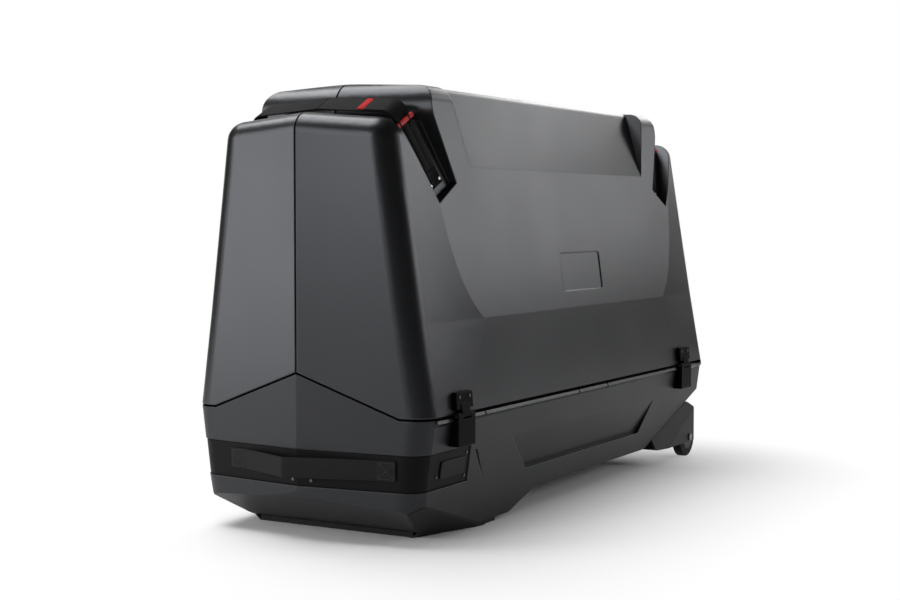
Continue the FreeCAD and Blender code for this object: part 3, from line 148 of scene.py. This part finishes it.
# Bead: a sloping rib of the tub's plastic under the seal on both long sides, rubbed smooth by the lids.
# It is left open at the hinges and has narrow drain notches.
bead_section = (  # across the case and up: the sloping face, the underside and the back against the tub
    (0.2426, 0.2119), (0.2458, 0.2069), (0.2391, 0.2010), (0.2392, 0.2022), (0.2426, 0.2057), (0.2437, 0.2104),
)
bead_lengths = (  # from and to along the case, with the hinges and the notches between them
    (-0.5880, -0.5375), (-0.4725, -0.4255), (-0.4205, -0.0415),
    (-0.0365, 0.0935), (0.0985, 0.4785), (0.5435, 0.5900),
)
bead_edge = 0.0005
bead_plastic = moulded_plastic(
    "bead_plastic", shell_black, roughness=0.34, grain_size=shell_grain, grain_depth=0.00008,
    mottle=0.3, shine=0.6, gloss_tint=cool_gloss,
)


def piece_of(name, bm, material):
    """Piece at the origin, made of a finished bmesh in its material."""
    mesh = bpy.data.meshes.new(name)
    bm.to_mesh(mesh)
    bm.free()
    mesh.materials.append(material)
    piece = bpy.data.objects.new(name, mesh)
    bpy.context.scene.collection.objects.link(piece)
    return piece


def new_verts(made):
    """Vertices among what an operator has made."""
    return [part for part in made["geom"] if isinstance(part, bmesh.types.BMVert)]


def bead_strip(name, across):
    """The rib's lengths on one long side, each drawn out from the rib's section."""
    bm = bmesh.new()
    for start, stop in bead_lengths:
        end_face = bm.faces.new([bm.verts.new((start + case_shift, across * y, z)) for y, z in bead_section])
        drawn = bmesh.ops.extrude_face_region(bm, geom=[end_face])
        bmesh.ops.translate(bm, verts=new_verts(drawn), vec=(stop - start, 0, 0))
    bmesh.ops.recalc_face_normals(bm, faces=bm.faces)
    strip = piece_of(name, bm, bead_plastic)
    soft = strip.modifiers.new("soft_edge", "BEVEL")
    soft.width = bead_edge
    soft.segments = 2
    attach(strip, "tub")


bead_strip("right_bead", -1)
bead_strip("left_bead", 1)

# Skid: a hard black rubber moulding under the bow, let into the tub's undercut corners.
# The handle end stands on it, so it is rougher and duller than the plastic.
skid_rubber = moulded_plastic(
    "skid_rubber", (0.006, 0.006, 0.006), roughness=0.6, grain_size=0.0014, grain_depth=0.0002, shine=0.25
)
dress(skid_rubber, "front_skid")

# Wheels: rubber tyres on black plastic hubs, turning on steel axles.
# Each sits in a housing of the tub's plastic, screwed under the tub's ramp.


def turned_metal(name, colour, roughness, grain_size, grain_depth, mottle):
    """Bare metal with fine tool marks."""
    metal = moulded_plastic(name, colour, roughness, grain_size, grain_depth, mottle)
    metal.node_tree.nodes["Principled BSDF"].inputs["Metallic"].default_value = 1
    return metal


housing_plastic = moulded_plastic(
    "housing_plastic", shell_black, roughness=0.46, grain_size=shell_grain, grain_depth=shell_grain_depth,
    edge_wear_and_highlight=0.3, shine=0.17, gloss_tint=cool_gloss,
)
dress(housing_plastic, "right_wheel_housing", "left_wheel_housing")
tyre_rubber = moulded_plastic(
    "tyre_rubber", (0.006, 0.006, 0.006), roughness=0.6, grain_size=0.0015, grain_depth=0.0001, shine=0.12
)
dress(tyre_rubber, "right_tyre", "left_tyre")
hub_plastic = moulded_plastic(
    "hub_plastic", (0.008, 0.008, 0.0085), roughness=0.42, grain_size=0.001, grain_depth=0.00008, shine=0.2
)
dress(hub_plastic, "right_hub", "left_hub")
dark_steel = turned_metal(
    "dark_steel", (0.14, 0.14, 0.145), roughness=0.35, grain_size=0.0006, grain_depth=0.00002, mottle=0.06
)
dress(dark_steel, "right_wheel_axle", "left_wheel_axle")

# Inside of the tub: an anodised aluminium rail screwed to the floor.
# A black plastic fork clamp with its through axle and a frame cradle are fixed on the rail.
alloy = turned_metal(
    "alloy", (0.55, 0.55, 0.57), roughness=0.35, grain_size=0.0008, grain_depth=0.00003, mottle=0.04
)
dress(alloy, "mount_rail", "fork_axle")
dress(dark_steel, "rail_screws")
dress(hub_plastic, "fork_clamp", "frame_cradle")

# Foam: slabs of dark closed-cell foam, cut square and softened at the edges.
# They are glued to the tub's floor and inside the lids.


def foam_slab(node, body, softness):
    """Slab cut to the place of a node, with its edges rounded."""
    piece = bpy.data.objects.new(node + "_foam", nodes[node].data.copy())
    bm = bmesh.new()
    bm.from_mesh(piece.data)
    bmesh.ops.remove_doubles(bm, verts=bm.verts, dist=1e-5)
    bmesh.ops.dissolve_limit(bm, angle_limit=0.02, verts=bm.verts, edges=bm.edges)
    bmesh.ops.recalc_face_normals(bm, faces=bm.faces)
    bmesh.ops.bevel(
        bm, geom=bm.edges[:], offset=softness, offset_type="OFFSET", segments=4,
        profile=0.5, affect="EDGES", material=-1,
    )
    for face in bm.faces:
        face.smooth = True
    bm.to_mesh(piece.data)
    bm.free()
    piece.data.materials.clear()
    piece.data.materials.append(foam)
    bpy.context.scene.collection.objects.link(piece)
    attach(piece, body)
    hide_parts(node)


foam = moulded_plastic("foam", (0.06, 0.06, 0.064), roughness=0.9, grain_size=0.0025, grain_depth=0.0007)
foam_slab("floor_pads", "tub", softness=0.004)
foam_slab("right_liner", "right_lid", softness=0.003)
foam_slab("left_liner", "left_lid", softness=0.003)

# Handle band: a black plastic strap round the handle end, let into the tub and held by small steel rivets.
# A plain plate is glued on its right side.
band_plastic = moulded_plastic(
    "band_plastic", (0.0025, 0.0025, 0.0027), roughness=0.48, grain_size=0.0012, grain_depth=0.0001,
    edge_wear_and_highlight=0.2, shine=0.1,
)
dress(band_plastic, "handle_band")
plate_plastic = moulded_plastic(
    "plate_plastic", (0.003, 0.003, 0.003), roughness=0.38, grain_size=0.0008, grain_depth=0.00004,
    edge_wear_and_highlight=0.2, shine=0.12,
)
dress(plate_plastic, "badge")
rivet_steel = turned_metal(
    "rivet_steel", (0.10, 0.10, 0.105), roughness=0.35, grain_size=0.0006, grain_depth=0.00003, mottle=0.06
)
dress(rivet_steel, "band_rivets")

# Carrying handle: black nylon webbing that stands off the band in a low arch, sewn down flat at both ends
# with a box and a cross of thread. Its webbing is painted lighter than the belts' webbing,
# as painted light on the arch.
strap_rib, strap_cord, fine_edge = 0.0017, 0.0052, 0.0007
stitch_length, stitch_pitch, stitch_width, stitch_height = 0.0032, 0.0046, 0.0009, 0.0005


def woven_webbing(name, colour, rib_pitch, cord_pitch, lustre=0.12):
    """Webbing: ribs across the run, cords along it, single fibres that differ a little in shade."""
    material = bpy.data.materials.new(name)
    material.use_nodes = True
    tree = material.node_tree
    shader = tree.nodes["Principled BSDF"]
    shader.inputs["Roughness"].default_value = 0.72
    shader.inputs["Specular IOR Level"].default_value = lustre
    shader.inputs["Sheen Weight"].default_value = 0.015
    shader.inputs["Sheen Roughness"].default_value = 0.4
    run = tree.nodes.new("ShaderNodeUVMap")
    run.uv_map = "run"
    split = tree.nodes.new("ShaderNodeSeparateXYZ")
    link = tree.links.new
    link(run.outputs["UV"], split.inputs["Vector"])
    waves = []
    for axis, length in (("X", rib_pitch), ("Y", cord_pitch)):
        turn = tree.nodes.new("ShaderNodeMath")
        turn.operation = "MULTIPLY"
        turn.inputs[1].default_value = 2 * math.pi / length
        wave = tree.nodes.new("ShaderNodeMath")
        wave.operation = "SINE"
        link(split.outputs[axis], turn.inputs[0])
        link(turn.outputs["Value"], wave.inputs[0])
        waves.append(wave)
    crossing = tree.nodes.new("ShaderNodeMath")
    crossing.operation = "MULTIPLY"
    link(waves[0].outputs["Value"], crossing.inputs[0])
    link(waves[1].outputs["Value"], crossing.inputs[1])
    weave = tree.nodes.new("ShaderNodeMapRange")
    weave.inputs["From Min"].default_value = -1
    link(crossing.outputs["Value"], weave.inputs["Value"])
    place = tree.nodes.new("ShaderNodeTexCoord")
    fibres = tree.nodes.new("ShaderNodeTexNoise")
    fibres.inputs["Scale"].default_value = 900
    fibres.inputs["Detail"].default_value = 3
    link(place.outputs["Object"], fibres.inputs["Vector"])
    shade = tree.nodes.new("ShaderNodeMath")
    shade.operation = "MULTIPLY"
    link(weave.outputs["Result"], shade.inputs[0])
    link(fibres.outputs["Fac"], shade.inputs[1])
    tint = tree.nodes.new("ShaderNodeMix")
    tint.data_type = "RGBA"
    tint.inputs["A"].default_value = [c * 0.55 for c in colour] + [1]
    tint.inputs["B"].default_value = [min(c * 2.2, 1) for c in colour] + [1]
    link(shade.outputs["Value"], tint.inputs["Factor"])
    link(tint.outputs["Result"], shader.inputs["Base Color"])
    bump = tree.nodes.new("ShaderNodeBump")
    bump.inputs["Strength"].default_value = 0.8
    bump.inputs["Distance"].default_value = 0.0004
    link(weave.outputs["Result"], bump.inputs["Height"])
    link(bump.outputs["Normal"], shader.inputs["Normal"])
    return material


def edge_middle(edge):
    """Point halfway along an edge."""
    return (edge.verts[0].co + edge.verts[1].co) / 2


def webbing_strip(
    name, path, across, width, thickness, corner_rounds, material, body, slot, *replaced, roundness=fine_edge
):
    """Flat strap laid along a path, thick to the left of it, with round corners and softened edges."""
    bm = bmesh.new()
    side = [bm.verts.new(point - across * width / 2) for point in path]
    run = [bm.edges.new(pair) for pair in zip(side, side[1:])]
    made = bmesh.ops.extrude_edge_only(bm, edges=run)
    bmesh.ops.translate(bm, verts=new_verts(made), vec=across * width)
    for corner, vert in enumerate(side[1:-1], 1):
        turn = (path[corner] - path[corner - 1]).angle(path[corner + 1] - path[corner])
        fold = [edge for edge in vert.link_edges if len(edge.link_faces) == 2]
        bmesh.ops.bevel(
            bm, geom=fold, offset=corner_rounds[corner - 1] * math.tan(turn / 2), offset_type="OFFSET",
            segments=8, profile=0.5, affect="EDGES", material=-1,
        )
    cells = bm.loops.layers.uv.new("run")
    rim = [edge for edge in bm.edges if len(edge.link_faces) == 1]
    ends = [e for e in rim if abs((e.verts[0].co - e.verts[1].co).normalized().dot(across)) > 0.99]
    edge = min(ends, key=lambda e: (edge_middle(e) - path[0]).length)
    face, length = edge.link_faces[0], 0.0
    while face:
        opposite = [e for e in face.edges if e is not edge and not set(e.verts) & set(edge.verts)]
        ahead = max(opposite, key=lambda e: e.calc_length())
        step = (edge_middle(ahead) - edge_middle(edge)).length
        for loop in face.loops:
            along = length if loop.vert in edge.verts else length + step
            loop[cells].uv = (along, (loop.vert.co - path[0]).dot(across) + width / 2)
        length += step
        beyond = [f for f in ahead.link_faces if f is not face]
        edge, face = ahead, beyond[0] if beyond else None
    for face in bm.faces:
        face.smooth = True
    strap = piece_of(name, bm, material)
    body_of_strap = strap.modifiers.new("thickness", "SOLIDIFY")
    body_of_strap.thickness = thickness
    body_of_strap.offset = 1
    soft = strap.modifiers.new("soft_edge", "BEVEL")
    soft.width = min(thickness * 0.46, roundness)
    soft.segments = 5 if roundness > fine_edge else 2
    soft.limit_method = "ANGLE"
    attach(strap, body)
    if replaced:
        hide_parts(*replaced)


def sewn(name, runs, normal, body, thread):
    """Rows of stitches: short raised threads along straight runs on a flat strap."""
    bm = bmesh.new()
    stitch = Matrix.Diagonal((stitch_length, stitch_width, 2 * stitch_height, 1))
    for first, last in runs:
        heading = (last - first).normalized()
        turn = Matrix((heading, normal.cross(heading), normal)).transposed().to_4x4()
        count = max(int((last - first).length / stitch_pitch), 1)
        for number in range(count):
            middle = first + (last - first) * (number + 0.5) / count
            place = Matrix.Translation(middle) @ turn @ stitch
            cube = bmesh.ops.create_cube(bm, size=1, matrix=place)["verts"]
            tops = [v for v in cube if (v.co - middle).dot(normal) > 0]
            bmesh.ops.scale(bm, verts=tops, vec=(0.7, 0.7, 0.7), space=Matrix.Translation(-middle))
    piece = piece_of(name, bm, thread)
    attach(piece, body)


# The handle's webbing is painted lighter than the belts' webbing, as painted light on the arch.
lit_handle_webbing = woven_webbing(
    "lit_handle_webbing", (0.007, 0.007, 0.0073), rib_pitch=strap_rib, cord_pitch=strap_cord, lustre=0.2
)
black_thread = moulded_plastic(
    "black_thread", (0.03, 0.03, 0.032), roughness=0.7, grain_size=0.0006, grain_depth=0.0002
)
prow_share, band_apex, handle_level = 0.12, 0.64329 - case_shift, 0.129
handle_width, handle_thick, handle_lift = 0.034, 0.0032, 0.0003
handle_run = ((-0.184, 0), (-0.150, 0), (0.008, 0.030), (0.116, 0), (0.150, 0))  # across, and off the band
handle_bends = (0.045, 0.008, 0.045)
box_half_height = 0.0135
sewn_boxes = (("left", 0.147, 0.119), ("right", -0.153, -0.181))  # from and to across the case


def on_band(y, out):
    """Point at a distance across the case, a little off the band's front."""
    return Vector((prow_share * abs(y) - band_apex - out, y, handle_level))


webbing_strip(
    "carry_handle_webbing", [on_band(y, out + handle_lift) for y, out in handle_run], Vector((0, 0, 1)),
    handle_width, handle_thick, handle_bends, lit_handle_webbing, "tub", "webbing", "carry_handle",
)
for hand, start, stop in sewn_boxes:
    low, high = Vector((0, 0, -box_half_height)), Vector((0, 0, box_half_height))
    first, last = on_band(start, handle_lift + handle_thick), on_band(stop, handle_lift + handle_thick)
    corners = [first + low, last + low, last + high, first + high]
    box = list(zip(corners, corners[1:] + corners[:1]))
    cross = [(corners[0], corners[2]), (corners[1], corners[3])]
    off_band = Vector((-1, math.copysign(prow_share, start), 0)).normalized()
    sewn("handle_stitches_" + hand, box + cross, off_band, "tub", black_thread)

# Lids: two tall wings of the same plastic as the tub, hinged on its long sides and meeting at the seam.
# The right lid carries a soft strip along the seam. The lids are glossier than the tub.
shell_plastic = moulded_plastic(
    "shell_plastic", shell_black, roughness=0.31, grain_size=shell_grain, grain_depth=shell_grain_depth,
    edge_wear_and_highlight=0.3, gloss_tint=cool_gloss,
)
dress(shell_plastic, "right_lid_shell", "left_lid_shell")
# The seam strip takes the same rubber, painted almost black partly as painted shade in the seam.
dress(seal_rubber, "seam_seal")

# Hinges: halves moulded in glass-filled black plastic, two on each long side, turning on steel pins.
# The bases are fixed to the tub's sides and the leaves are riveted to the lids. They are painted almost black
# with next to no gloss, partly as painted shade round the knuckles.
# Painted almost black with next to no gloss: black plastic, and partly painted shade round the knuckles.
hinge_plastic = moulded_plastic(
    "hinge_plastic", (0.0018, 0.0018, 0.0019), roughness=0.45, grain_size=0.0009, grain_depth=0.00008,
    edge_wear_and_highlight=0.2, shine=0.035,
)
for end in ("near", "far"):
    for hand in ("right", "left"):
        dress(hinge_plastic, end + "_" + hand + "_hinge_base", end + "_" + hand + "_hinge_leaf")
dress(dark_steel, "hinge_pins")
dress(rivet_steel, "right_leaf_rivets", "left_leaf_rivets")

# Belts: black webbing let into the slots of both lids. On the right a riveted strap with two stuffed pleats
# holds a red plastic keeper under two sewn tapes; the belt comes over from the left lid, goes through the
# keeper and is folded back to a red pull tab. The pleats are painted lighter than the strap,
# as painted highlight.
black_webbing = woven_webbing(
    "black_webbing", (0.004, 0.004, 0.0043), rib_pitch=strap_rib, cord_pitch=strap_cord
)
red_plastic = moulded_plastic(
    "red_plastic", (0.52, 0.014, 0.018), roughness=0.42, grain_size=0.001, grain_depth=0.00005, shine=0.25
)
red_webbing = woven_webbing("red_webbing", (0.42, 0.012, 0.016), rib_pitch=strap_rib, cord_pitch=0.004)
# The pleats are painted lighter than the strap's webbing, as painted highlight on their rounds.
highlit_pleat_cloth = woven_webbing("highlit_pleat_cloth", (0.02, 0.02, 0.021), rib_pitch=0.0011, cord_pitch=0.0011)
bright_steel = turned_metal(
    "bright_steel", (0.5, 0.5, 0.51), roughness=0.3, grain_size=0.0006, grain_depth=0.00003, mottle=0.06
)
dress(bright_steel, "right_belt_rivets", "left_belt_rivets")

# The slot's floor tilts off the upright, climbs the leaning wall of a lid and falls a little to the side on top.
slot_tilt = math.radians(28)
slot_reach, slot_foot_z, slot_foot_y = 0.476, 0.588, 0.182
wall_lean, roof_reach, roof_fall = 0.245, 0.176, 0.075
wall_run, roof_run = math.hypot(1, wall_lean), math.hypot(1, roof_fall)
corner_climb = (roof_reach - roof_fall * slot_foot_y) / (1 - roof_fall * wall_lean)
corner_turn = math.pi / 2 - math.atan(wall_lean) - math.atan(roof_fall)

# Runs on the wall are measured up the slot from its foot, and those on top across the case from the seam.
belt_gap, belt_thick, belt_width, belt_bend = 0.0003, 0.0026, 0.046, 0.022
belt_foot, belt_start, belt_seam, fold_end = 0.012, 0.1416, -0.0003, -0.092
tab_width, tab_run = 0.040, (-0.0917, -0.078)
anchor_width, anchor_thick, anchor_run = 0.048, 0.0022, (0.012, 0.133)
pleat_width, pleat_thick, pleat_roundness, pleat_run = 0.0135, 0.0056, 0.0026, (0.044, 0.1325)
on_fold, on_strap = belt_gap + belt_thick, belt_gap + anchor_thick
tape_width, tape_thick, tape_bends, tape_lift = 0.0045, 0.0012, (0.002, 0.002), 0.0002
on_keeper = belt_gap + 0.0072
tape_run = (  # up the wall, and off it
    (0.1265, on_strap + tape_lift), (0.1326, on_keeper), (0.1418, on_keeper),
    (0.1475, belt_gap + 2 * belt_thick + tape_lift),
)
seam_run, seam_lift, cross_seam = (0.016, 0.131), on_strap + 0.0002, 0.038


def in_slot(way, y, climb):
    """Point in the plane of a belt: across the case, and up along the tilted slot."""
    reach = slot_reach + math.sin(slot_tilt) * climb
    return Vector((case_shift + way * reach, y, slot_foot_z + math.cos(slot_tilt) * climb))


def on_wall(way, climb, lift):
    """Point on the right lid's wall, off the slot's floor."""
    off = lift / wall_run
    return in_slot(way, -slot_foot_y + wall_lean * climb - off, climb + off * wall_lean)


def on_corner(way, lift):
    """Point at the right lid's corner, off both runs of the slot's floor."""
    further = lift * math.tan(corner_turn / 2)
    y = -slot_foot_y + wall_lean * corner_climb + (wall_lean * further - lift) / wall_run
    return in_slot(way, y, corner_climb + (wall_lean * lift + further) / wall_run)


def on_roof(way, y, lift):
    """Point on top of the right lid, off the slot's floor."""
    off = lift / roof_run
    return in_slot(way, y - off * roof_fall, roof_reach + roof_fall * y + off)


def slot_across(way):
    """Direction across a belt, along the slot's floor."""
    return Vector((-math.cos(slot_tilt), 0, way * math.sin(slot_tilt)))


def up_wall(way, aside, climbs_and_lifts):
    """Path up the right lid's wall, to one side of the belt's middle."""
    return [on_wall(way, climb, lift) - slot_across(way) * aside for climb, lift in climbs_and_lifts]


for end, way in (("near", -1), ("far", 1)):
    across = slot_across(way)
    webbing_strip(
        end + "_anchor_webbing", up_wall(way, 0, [(climb, belt_gap) for climb in anchor_run]), across,
        anchor_width, anchor_thick, (), black_webbing, "right_lid", "webbing", end + "_anchor_strap",
    )
    for pleat, aside in (("inner", 0.002), ("outer", 0.016)):
        webbing_strip(
            end + "_anchor_pleat_" + pleat, up_wall(way, aside, [(climb, on_strap) for climb in pleat_run]), across,
            pleat_width, pleat_thick, (), highlit_pleat_cloth, "right_lid", "webbing", roundness=pleat_roundness,
        )
    dress(red_plastic, end + "_belt_ring")
    rows = [up_wall(way, aside, [(climb, seam_lift) for climb in seam_run]) for aside in (-0.0215, -0.0065)]
    rows.append([up_wall(way, aside, [(cross_seam, seam_lift)])[0] for aside in (-0.0195, 0.0215)])
    off_wall = Vector((way * math.sin(slot_tilt) * wall_lean, -1, math.cos(slot_tilt) * wall_lean)).normalized()
    sewn(end + "_anchor_stitches", rows, off_wall, "right_lid", black_thread)
    for loop, aside in (("inner", -0.0195), ("outer", 0.0115)):
        webbing_strip(
            end + "_keeper_loop_" + loop, up_wall(way, aside, tape_run), across,
            tape_width, tape_thick, tape_bends, black_webbing, "right_lid", "webbing",
        )
    webbing_strip(
        end + "_right_belt_webbing",
        [on_wall(way, belt_start, belt_gap), on_corner(way, belt_gap), on_roof(way, belt_seam, belt_gap)], across,
        belt_width, belt_thick, (belt_bend,), black_webbing, "right_lid", "webbing", end + "_right_belt",
    )
    webbing_strip(
        end + "_right_belt_fold",
        [on_wall(way, belt_start, on_fold), on_corner(way, on_fold), on_roof(way, fold_end, on_fold)], across,
        belt_width, belt_thick, (belt_bend,), black_webbing, "right_lid", "webbing",
    )
    webbing_strip(
        end + "_pull_tab_webbing", [on_roof(way, y, on_fold) for y in tab_run], across,
        tab_width, belt_thick, (), red_webbing, "right_lid", "red_webbing", end + "_pull_tab",
    )
    down_left = [on_roof(way, belt_seam, belt_gap), on_corner(way, belt_gap), on_wall(way, belt_foot, belt_gap)]
    webbing_strip(
        end + "_left_belt_webbing", [Vector((point.x, -point.y, point.z)) for point in down_left], across,
        belt_width, belt_thick, (belt_bend,), black_webbing, "left_lid", "webbing", end + "_left_belt",
    )

# Studio floor: a wide sheet of white paper. Close round the case it is lit by the lamps and keeps the case's
# shadow; further off, the camera and mirrored rays see it as plain white.
floor_half = 30
shadow_middle, shadow_half, shadow_fade = (-0.16, 0, 0), (0.5, 0.16, 0), (0.04, 0.54)
mirrored_view = (0.94, 0.97)  # cosines off the line of sight between which mirrored rays begin to see white


def joined(tree, operation, first, second):
    """Product or larger one of two values of a node tree."""
    both = tree.nodes.new("ShaderNodeMath")
    both.operation = operation
    tree.links.new(first, both.inputs[0])
    tree.links.new(second, both.inputs[1])
    return both.outputs["Value"]


def vector_step(tree, operation, vector, fixed=(0, 0, 0), result="Vector"):
    """Outcome of one step of vector arithmetic with a fixed second vector."""
    step = tree.nodes.new("ShaderNodeVectorMath")
    step.operation = operation
    step.inputs[1].default_value = fixed
    tree.links.new(vector, step.inputs[0])
    return step.outputs[result]


def seen_rays(tree, rays):
    """Is 1 for rays from the camera and for those that are mirrored or let through, and else 0."""
    mirrored = joined(tree, "MAXIMUM", rays.outputs["Is Glossy Ray"], rays.outputs["Is Transmission Ray"])
    return joined(tree, "MAXIMUM", rays.outputs["Is Camera Ray"], mirrored)


white_paper = bpy.data.materials.new("studio_floor")
white_paper.use_nodes = True
tree = white_paper.node_tree
shader = tree.nodes["Principled BSDF"]
shader.inputs["Base Color"].default_value = (0.9, 0.9, 0.9, 1)
shader.inputs["Roughness"].default_value = 0.9
shader.inputs["Specular IOR Level"].default_value = 0.1
rays = tree.nodes.new("ShaderNodeLightPath")
place = tree.nodes.new("ShaderNodeTexCoord").outputs["Object"]
either_side = vector_step(tree, "ABSOLUTE", vector_step(tree, "SUBTRACT", place, shadow_middle))
outside = vector_step(tree, "MAXIMUM", vector_step(tree, "SUBTRACT", either_side, shadow_half))
fade = tree.nodes.new("ShaderNodeMapRange")
fade.inputs["From Min"].default_value, fade.inputs["From Max"].default_value = shadow_fade
tree.links.new(vector_step(tree, "LENGTH", outside, result="Value"), fade.inputs["Value"])
heading = vector_step(tree, "NORMALIZE", vector_step(tree, "SUBTRACT", place, camera_stand.location))
in_view = tree.nodes.new("ShaderNodeMapRange")
in_view.inputs["From Min"].default_value, in_view.inputs["From Max"].default_value = mirrored_view
tree.links.new(vector_step(tree, "DOT_PRODUCT", heading, sight, "Value"), in_view.inputs["Value"])
shown = joined(tree, "MAXIMUM", rays.outputs["Is Camera Ray"], in_view.outputs["Result"])
whiteness = joined(tree, "MULTIPLY", fade.outputs["Result"], shown)
white = tree.nodes.new("ShaderNodeEmission")
mix = tree.nodes.new("ShaderNodeMixShader")
tree.links.new(joined(tree, "MULTIPLY", whiteness, seen_rays(tree, rays)), mix.inputs["Fac"])
tree.links.new(shader.outputs["BSDF"], mix.inputs[1])
tree.links.new(white.outputs["Emission"], mix.inputs[2])
tree.links.new(mix.outputs["Shader"], tree.nodes["Material Output"].inputs["Surface"])
bm = bmesh.new()
bmesh.ops.create_grid(bm, x_segments=1, y_segments=1, size=floor_half)
floor = piece_of("studio_floor", bm, white_paper)

# Backdrop: white behind the case, and a dim room on the camera's side, so that the plastic stays black there.
# Diffuse light from all round is weak and even.
room_light, dark_room = 0.17, 0.015
backdrop_view = (0.75, 0.92)  # cosines off the line of sight between which the room turns to white
world = bpy.data.worlds.new("studio")
bpy.context.scene.world = world
world.use_nodes = True
tree = world.node_tree
rays = tree.nodes.new("ShaderNodeLightPath")
ambient = tree.nodes["Background"]
ambient.inputs["Color"].default_value = (1, 1, 1, 1)
ambient.inputs["Strength"].default_value = room_light
backdrop = tree.nodes.new("ShaderNodeBackground")
backdrop.inputs["Color"].default_value = (1, 1, 1, 1)
heading = tree.nodes.new("ShaderNodeTexCoord").outputs["Generated"]
behind_case = tree.nodes.new("ShaderNodeMapRange")
behind_case.interpolation_type = "SMOOTHSTEP"
behind_case.inputs["From Min"].default_value, behind_case.inputs["From Max"].default_value = backdrop_view
behind_case.inputs["To Min"].default_value = dark_room
tree.links.new(vector_step(tree, "DOT_PRODUCT", heading, sight, "Value"), behind_case.inputs["Value"])
whiteness = joined(tree, "MAXIMUM", rays.outputs["Is Camera Ray"], behind_case.outputs["Result"])
mix = tree.nodes.new("ShaderNodeMixShader")
tree.links.new(whiteness, backdrop.inputs["Strength"])
tree.links.new(seen_rays(tree, rays), mix.inputs["Fac"])
tree.links.new(ambient.outputs["Background"], mix.inputs[1])
tree.links.new(backdrop.outputs["Background"], mix.inputs[2])
tree.links.new(mix.outputs["Shader"], tree.nodes["World Output"].inputs["Surface"])

# Lamps: soft boxes round the case. The satin plastic is nearly black, so its light and dark sides
# are the boxes that it mirrors.


def soft_light(name, place, target, width, height, watts):
    """Rectangular lamp at a place, turned to a target."""
    lamp = bpy.data.lights.new(name, "AREA")
    lamp.shape = "RECTANGLE"
    lamp.size, lamp.size_y = width, height
    lamp.energy = watts
    stand = bpy.data.objects.new(name, lamp)
    stand.location = place
    stand.rotation_euler = (Vector(target) - Vector(place)).to_track_quat("-Z", "Y").to_euler()
    bpy.context.scene.collection.objects.link(stand)


soft_light("left_softbox", (-2.5, 2.3, 1.0), (-0.4, 0, 0.4), 1.4, 2.0, 40)
soft_light("front_softbox", (-3.4, 0.7, 1.2), (-0.6, 0, 0.5), 1.0, 1.6, 25)
soft_light("top_softbox", (-0.5, 1.3, 3.1), (0, 0, 0.5), 2.6, 2.0, 100)
soft_light("right_softbox", (3.8, -2.45, 1.35), (0.1, -0.2, 0.5), 1.9, 1.2, 20)
soft_light("panel_softbox", (3.8, -1.4, 2.4), (0, -0.2, 0.6), 1.1, 0.8, 9)
soft_light("side_softbox", (1.7, -3.2, 1.4), (0, -0.2, 0.5), 1.4, 1.0, 26)
soft_light("back_softbox", (3.4, 0.3, 2.3), (0, 0, 0.4), 1.6, 0.9, 24)
